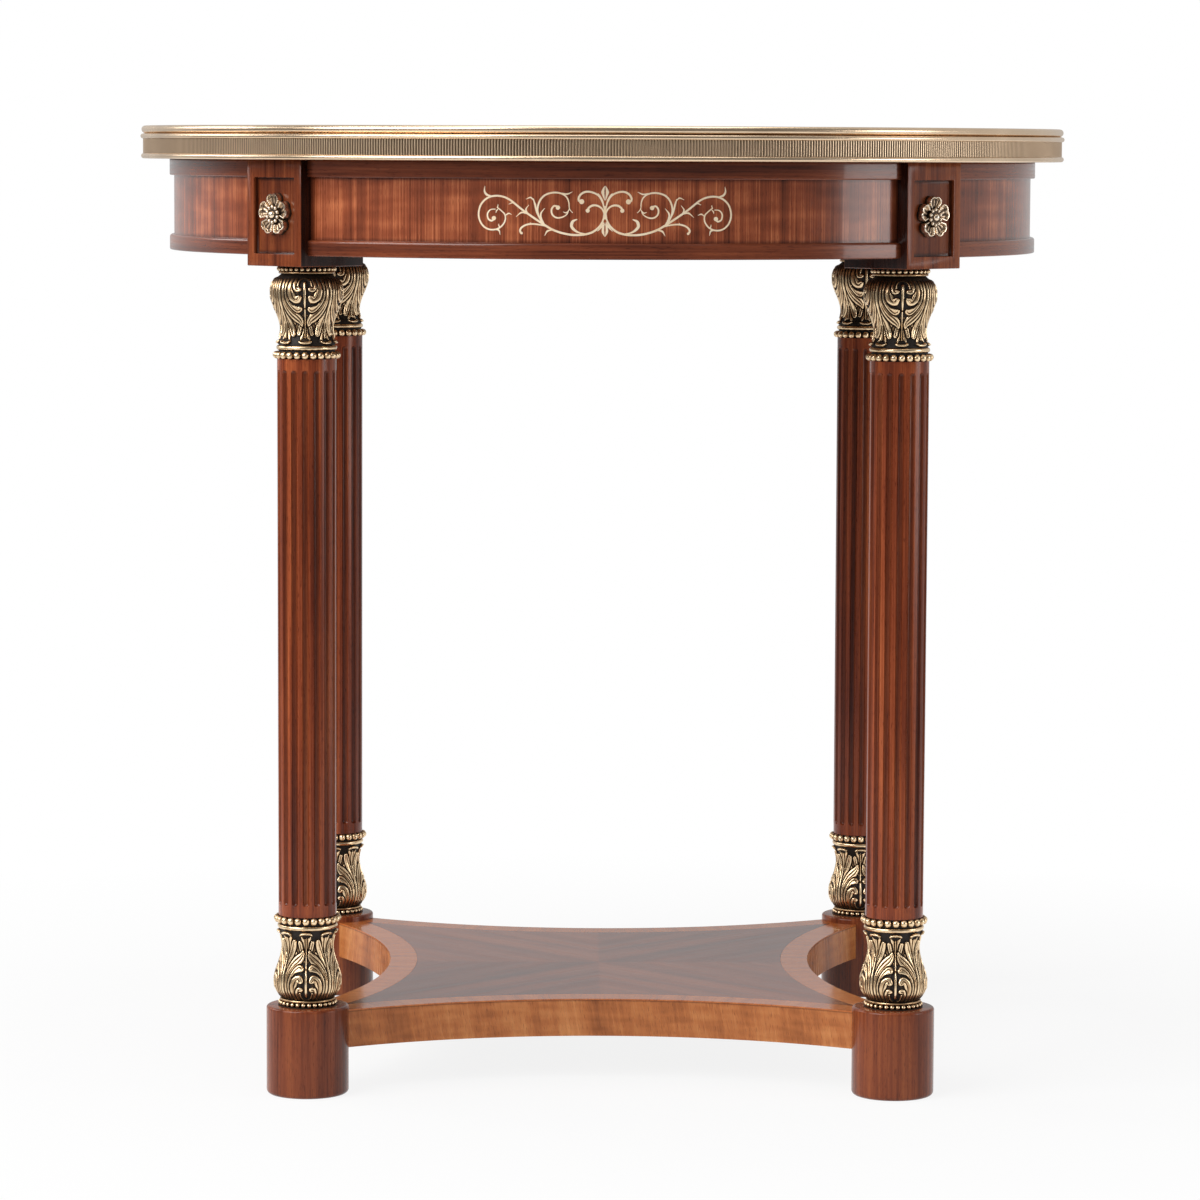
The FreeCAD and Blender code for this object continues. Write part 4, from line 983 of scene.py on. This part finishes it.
# Points across and up, in millimetres, and widths along the line as shares of the usual one
inlayLines = [
    # upper and middle scrolls that spring from the stem
    ([(0.2, -4.5), (0.5, 1.2), (1.9, 6.5), (4.7, 11.0), (9.2, 13.3), (13.7, 13.6), (17.1, 11.8),
     (18.7, 9.0), (18.3, 6.8)], (0.5, 0.8, 1.0, 1.1, 1.0)),
    ([(0.2, -5.7), (0.8, -1.2), (2.4, 2.0), (5.5, 3.9), (8.8, 4.0), (11.4, 2.4), (12.2, 0.6)],
     (0.5, 0.9, 1.1, 1.0)),
    ([(0.5, 2.0), (1.6, 6.9), (3.5, 10.6), (5.2, 12.5)], (0.5, 0.7, 0.5)),
    # the long stem, and the outer spiral that it ends in
    ([(0.2, 3.7), (0.8, -3.7), (1.6, -6.9), (3.9, -10.8), (8.0, -14.3), (12.9, -16.1), (18.6, -16.8),
     (25.1, -16.5), (31.6, -15.1), (37.3, -13.0), (42.2, -10.2), (47.1, -7.1), (52.8, -3.3), (58.5, 0.6),
     (63.4, 4.5), (67.5, 7.6), (72.0, 9.7), (76.9, 10.5), (81.7, 9.9), (85.8, 7.7), (89.1, 3.7),
     (90.5, -2.0), (89.5, -7.3), (86.4, -11.4), (82.2, -13.3), (77.3, -13.0), (73.4, -10.6), (71.1, -6.8),
     (71.2, -2.9), (73.6, -0.2), (76.9, 2.4)], (0.7, 1.1, 1.1, 1.1, 1.0, 1.0, 0.9, 0.8, 0.6)),
    ([(78.1, 1.1), (81.7, 0.7), (83.9, -2.0), (83.4, -5.7), (80.9, -7.1), (79.1, -5.7)],
     (0.4, 0.7, 0.9, 1.0)),
    # the inner spiral
    ([(40.6, -11.4), (44.3, -8.2), (46.7, -4.1), (47.8, 0.8), (46.7, 6.1), (43.8, 10.2), (39.8, 12.3),
     (34.9, 13.0), (30.4, 12.1), (27.1, 9.7), (25.6, 6.1), (25.1, 1.6), (22.8, -1.2)],
     (0.6, 0.9, 1.0, 0.9, 0.7, 0.3)),
    ([(25.4, 1.2), (27.1, -2.4), (30.8, -4.5), (34.5, -4.6), (37.3, -2.4), (37.8, 1.1), (36.1, 3.5),
     (33.7, 3.2)], (0.4, 0.8, 0.9, 1.0)),
    ([(30.8, 12.5), (26.7, 12.0), (23.0, 13.6)], (0.7, 0.8, 0.2)),
    ([(25.9, 0.0), (27.5, -1.2), (29.6, -0.6)], (0.6, 0.7, 0.2)),
    # comma leaf, sprigs and tendrils
    ([(12.9, -15.9), (17.8, -15.3), (21.4, -13.4), (23.6, -10.6), (22.7, -7.3), (19.6, -5.7)],
     (0.3, 0.9, 1.5, 1.6, 0.5)),
    ([(45.5, -6.9), (48.3, -0.8), (49.6, 4.5), (50.9, 8.7)], (0.5, 0.9, 1.0, 0.5)),
    ([(50.4, 7.3), (52.8, 9.4), (56.2, 8.2)], (0.4, 0.8, 0.2)),
    ([(42.6, -9.8), (45.1, -5.3), (45.3, -1.6), (42.6, 2.0)], (0.5, 0.9, 0.9, 0.2)),
    ([(54.8, -1.7), (56.1, 1.1), (54.0, 4.2)], (0.4, 0.8, 0.2)),
    ([(62.6, 4.1), (65.4, 5.7), (68.5, 4.6)], (0.4, 0.8, 0.2)),
    ([(55.3, -2.0), (59.3, -1.2), (63.2, -4.2)], (0.4, 0.9, 0.2)),
    ([(37.3, -12.8), (43.0, -10.4), (50.4, -9.2), (55.7, -9.8), (59.2, -11.8), (60.3, -14.1),
     (59.2, -15.9)], (0.4, 0.8, 0.9, 1.0, 1.0)),
    ([(50.4, -9.5), (52.2, -9.2), (53.1, -8.1)], (0.4, 0.6, 0.2)),
    ([(36.5, -13.3), (40.6, -14.1), (42.7, -17.4)], (0.4, 1.0, 0.2)),
    ([(80.9, 10.2), (84.6, 11.3), (86.2, 13.9), (85.9, 17.4)], (0.5, 1.2, 0.9, 0.2)),
    ([(71.2, -3.7), (68.7, -1.9), (66.3, -2.7)], (0.4, 0.8, 0.2)),
    ([(78.5, -13.2), (75.6, -13.9), (74.7, -17.0)], (0.5, 0.9, 0.2)),
    ([(76.9, 2.0), (76.3, 3.5), (76.3, 4.5)], (0.5, 0.5, 0.2)),
    ([(76.3, 1.1), (77.4, -0.1), (77.8, -1.5)], (0.4, 0.6, 0.2)),
    ([(74.8, -12.2), (75.6, -10.6), (75.8, -9.2)], (0.4, 0.6, 0.2)),
    # the two leaves beside each bud, and half of each bud
    ([(0.3, 7.7), (1.1, 11.0), (1.6, 13.4), (1.0, 15.9), (0.2, 17.8)], (0.3, 1.1, 1.7, 1.0, 0.2)),
    ([(0.3, -8.6), (1.3, -12.2), (1.3, -14.7), (0.2, -17.8)], (0.3, 1.2, 1.4, 0.2)),
    ([(0.7, -7.7), (2.4, -11.0), (5.4, -14.1)], (0.4, 1.0, 0.3)),
]
# Centre and radius of each ball, in millimetres
inlayBalls = [((16.5, 6.7), 1.79), ((12.2, 0.4), 1.47), ((79.3, -5.3), 1.55), ((33.3, 2.4), 1.55),
              ((59.2, -15.7), 0.90)]


def buildInlay(look):
    low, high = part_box("panel_veneer_front")
    middle, radius = (low.z + high.z) / 2, friezeSizes["panelRadius"]
    heap = Heap()
    drawnCount = 0

    def onPanel(flat, lift):
        flat = np.asarray(flat)
        reach = radius + lift
        return np.stack([reach * np.sin(flat[:, 0] / radius), -reach * np.cos(flat[:, 0] / radius),
                         middle + flat[:, 1]], -1)

    def addShape(left, right):
        # A strip of four corners at each step, closed at both ends
        nonlocal drawnCount
        drawnCount += 1
        lift = look["lift"] + drawnCount * look["stagger"]
        rows = np.stack([onPanel(left, lift), onPanel(right, lift), onPanel(right, -look["depth"]),
                         onPanel(left, -look["depth"])], 1)
        heap.add(rows, cappedFaces(len(left), 4))

    half = np.linspace(look["ballEnd"], math.pi - look["ballEnd"], look["ballSides"] // 2)
    for mirror in (1, -1):
        toSide = np.array((mirror, 1))
        for path, widths in inlayLines:
            line = smoothCurve(np.array(path) / 1000, look["steps"]) * toSide
            width = np.interp(np.linspace(0, 1, len(line)), np.linspace(0, 1, len(widths)), widths)
            run = np.gradient(line, axis=0)
            normal = np.stack([-run[:, 1], run[:, 0]], -1) / np.linalg.norm(run, axis=1)[:, None]
            across = normal * (width * look["line"] / 2)[:, None]
            addShape(line + across, line - across)
        for centre, size in inlayBalls:
            centre = np.array(centre) / 1000 * toSide
            left = np.stack([-np.cos(half), np.sin(half)], -1) * size / 1000
            addShape(centre + left, centre + left * np.array((1, -1)))
    return addHeap("scroll_inlay", heap, inlayBrass, ["front_inlay"], look["sharp"],
                   False)


buildInlay(inlaySizes)
print("inlay built")

# Pieces that stay as they come from the frame, each with its finish
frameFinishes = {
    "top_core": coreWood, "platform_core": coreWood, "top_cleats": coreWood, "top_field_veneer": fieldWood,
    "platform_field_veneer": fieldWood, "top_crossband": topBandWood, "platform_crossband": crossbandWood,
    "platform_edge_veneer": edgeWood, "rail_dowels": beech, "platform_dowels": beech,
    "top_screws": screwSteel, "block_screws": screwSteel, "foot_screws": screwSteel,
}
frameFinishes.update({"rail_" + side: bandWood for side in sides})
for node, material in frameFinishes.items():
    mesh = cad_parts[node].data
    mesh.materials.clear()
    mesh.materials.append(material)
print("frame pieces finished")

# Floor, white to the eye but with the table's shadow, and a white room
stageLook = {
    "floorSize": 3.0, "floorColour": 0.80, "shadowShare": 0.13, "shadowReach": (0.45, 1.0),
    "roomLight": 0.26, "roomDark": 0.20, "roomWall": 0.60, "wallTurn": 0.40, "wallEdge": (-0.05, 0.30),
}


def buildStage(look):
    half = look["floorSize"] / 2
    mesh = bpy.data.meshes.new("floor")
    outline = [(-half, -half, 0), (half, -half, 0), (half, half, 0), (-half, half, 0)]
    mesh.from_pydata(outline, [], [(0, 1, 2, 3)])
    floor = bpy.data.objects.new("floor", mesh)
    bpy.context.scene.collection.objects.link(floor)
    material, tree, shader, place = newMaterial("floor_white")
    feed(tree, shader, {
        "Base Color": (*grey(look["floorColour"]), 1), "Roughness": 1.0, "Specular IOR Level": 0.0})
    rays = addNode(tree, "LightPath").outputs
    mirrored = larger(tree, rays["Is Glossy Ray"], rays["Is Transmission Ray"])
    seen = larger(tree, rays["Is Camera Ray"], mirrored)
    white = addNode(tree, "Emission", None, Color=(1, 1, 1, 1), Strength=1.0).outputs[0]
    away = addNode(tree, "VectorMath", {"operation": "LENGTH"}, i0=place).outputs["Value"]
    near, far = look["shadowReach"]
    share = times(tree, seen, spread(tree, away, near, far, 1 - look["shadowShare"], 1.0))
    mix = addNode(tree, "MixShader", None, i0=share, i1=shader.outputs[0], i2=white)
    tree.links.new(mix.outputs[0], tree.nodes["Material Output"].inputs["Surface"])
    mesh.materials.append(material)

    # The room: white to the eye, but polished surfaces see a dark room with a white wall behind the table,
    # turned a little to the right
    world = bpy.data.worlds.new("room")
    bpy.context.scene.world = world
    world.use_nodes = True
    tree = world.node_tree
    background = tree.nodes["Background"]
    rays = addNode(tree, "LightPath").outputs
    direction = addNode(tree, "TexCoord").outputs["Generated"]
    axes = addNode(tree, "SeparateXYZ", None, Vector=direction).outputs
    towardsWall = plus(tree, axes[1], times(tree, axes[0], look["wallTurn"]))
    wall = spread(tree, towardsWall, *look["wallEdge"], look["roomDark"], look["roomWall"])
    mirrored = larger(tree, rays["Is Glossy Ray"], rays["Is Transmission Ray"])
    level = look["roomLight"]
    for ray, strength in ((mirrored, wall), (rays["Is Camera Ray"], 1.0)):
        level = addNode(tree, "Mix", {"data_type": "FLOAT"}, i0=ray, i2=level, i3=strength).outputs[0]
    feed(tree, background, {"Strength": level, "Color": (1, 1, 1, 1)})


buildStage(stageLook)

softboxes = {
    "key": {"place": (-2.5, -2.0, 2.5), "aim": (0, 0, 0.40), "size": (2.8, 2.8), "watts": 132},
    "strip": {"place": (2.52, -0.88, 0.80), "aim": (0, 0, 0.60), "size": (0.90, 1.3), "watts": 13},
    "side": {"place": (-2.7, 0.9, 1.7), "aim": (0, 0, 0.60), "size": (1.6, 1.2), "watts": 20},
    "overhead": {"place": (0.0, -0.4, 3.2), "aim": (0, 0, 0.30), "size": (2.2, 2.2), "watts": 30},
}
for name, look in softboxes.items():
    light = bpy.data.lights.new(name, "AREA")
    light.shape = "RECTANGLE"
    light.size, light.size_y = look["size"]
    light.energy = look["watts"]
    lamp = bpy.data.objects.new(name, light)
    bpy.context.scene.collection.objects.link(lamp)
    lamp.location = look["place"]
    towards = np.array(look["aim"]) - np.array(look["place"])
    lamp.rotation_euler = (math.atan2(math.hypot(towards[0], towards[1]), -towards[2]), 0,
                           math.atan2(towards[1], towards[0]) - math.pi / 2)

cameraLook = {
    "place": (-0.0225, -3.7277, 0.6988), "tilt": 84.606, "turn": -0.340, "roll": 0.25, "lens": 144.0,
    "sensor": 36.0,
}
lens = bpy.data.cameras.new("camera")
lens.lens = cameraLook["lens"]
lens.sensor_width = cameraLook["sensor"]
camera = bpy.data.objects.new("camera", lens)
bpy.context.scene.collection.objects.link(camera)
facing = Matrix.Translation(cameraLook["place"])
for angle, axis in (("turn", "Z"), ("tilt", "X"), ("roll", "Z")):
    facing = facing @ Matrix.Rotation(math.radians(cameraLook[angle]), 4, axis)
camera.matrix_world = facing
bpy.context.scene.camera = camera
bpy.context.scene.view_settings.view_transform = "Standard"
print("stage, lights and camera ready")
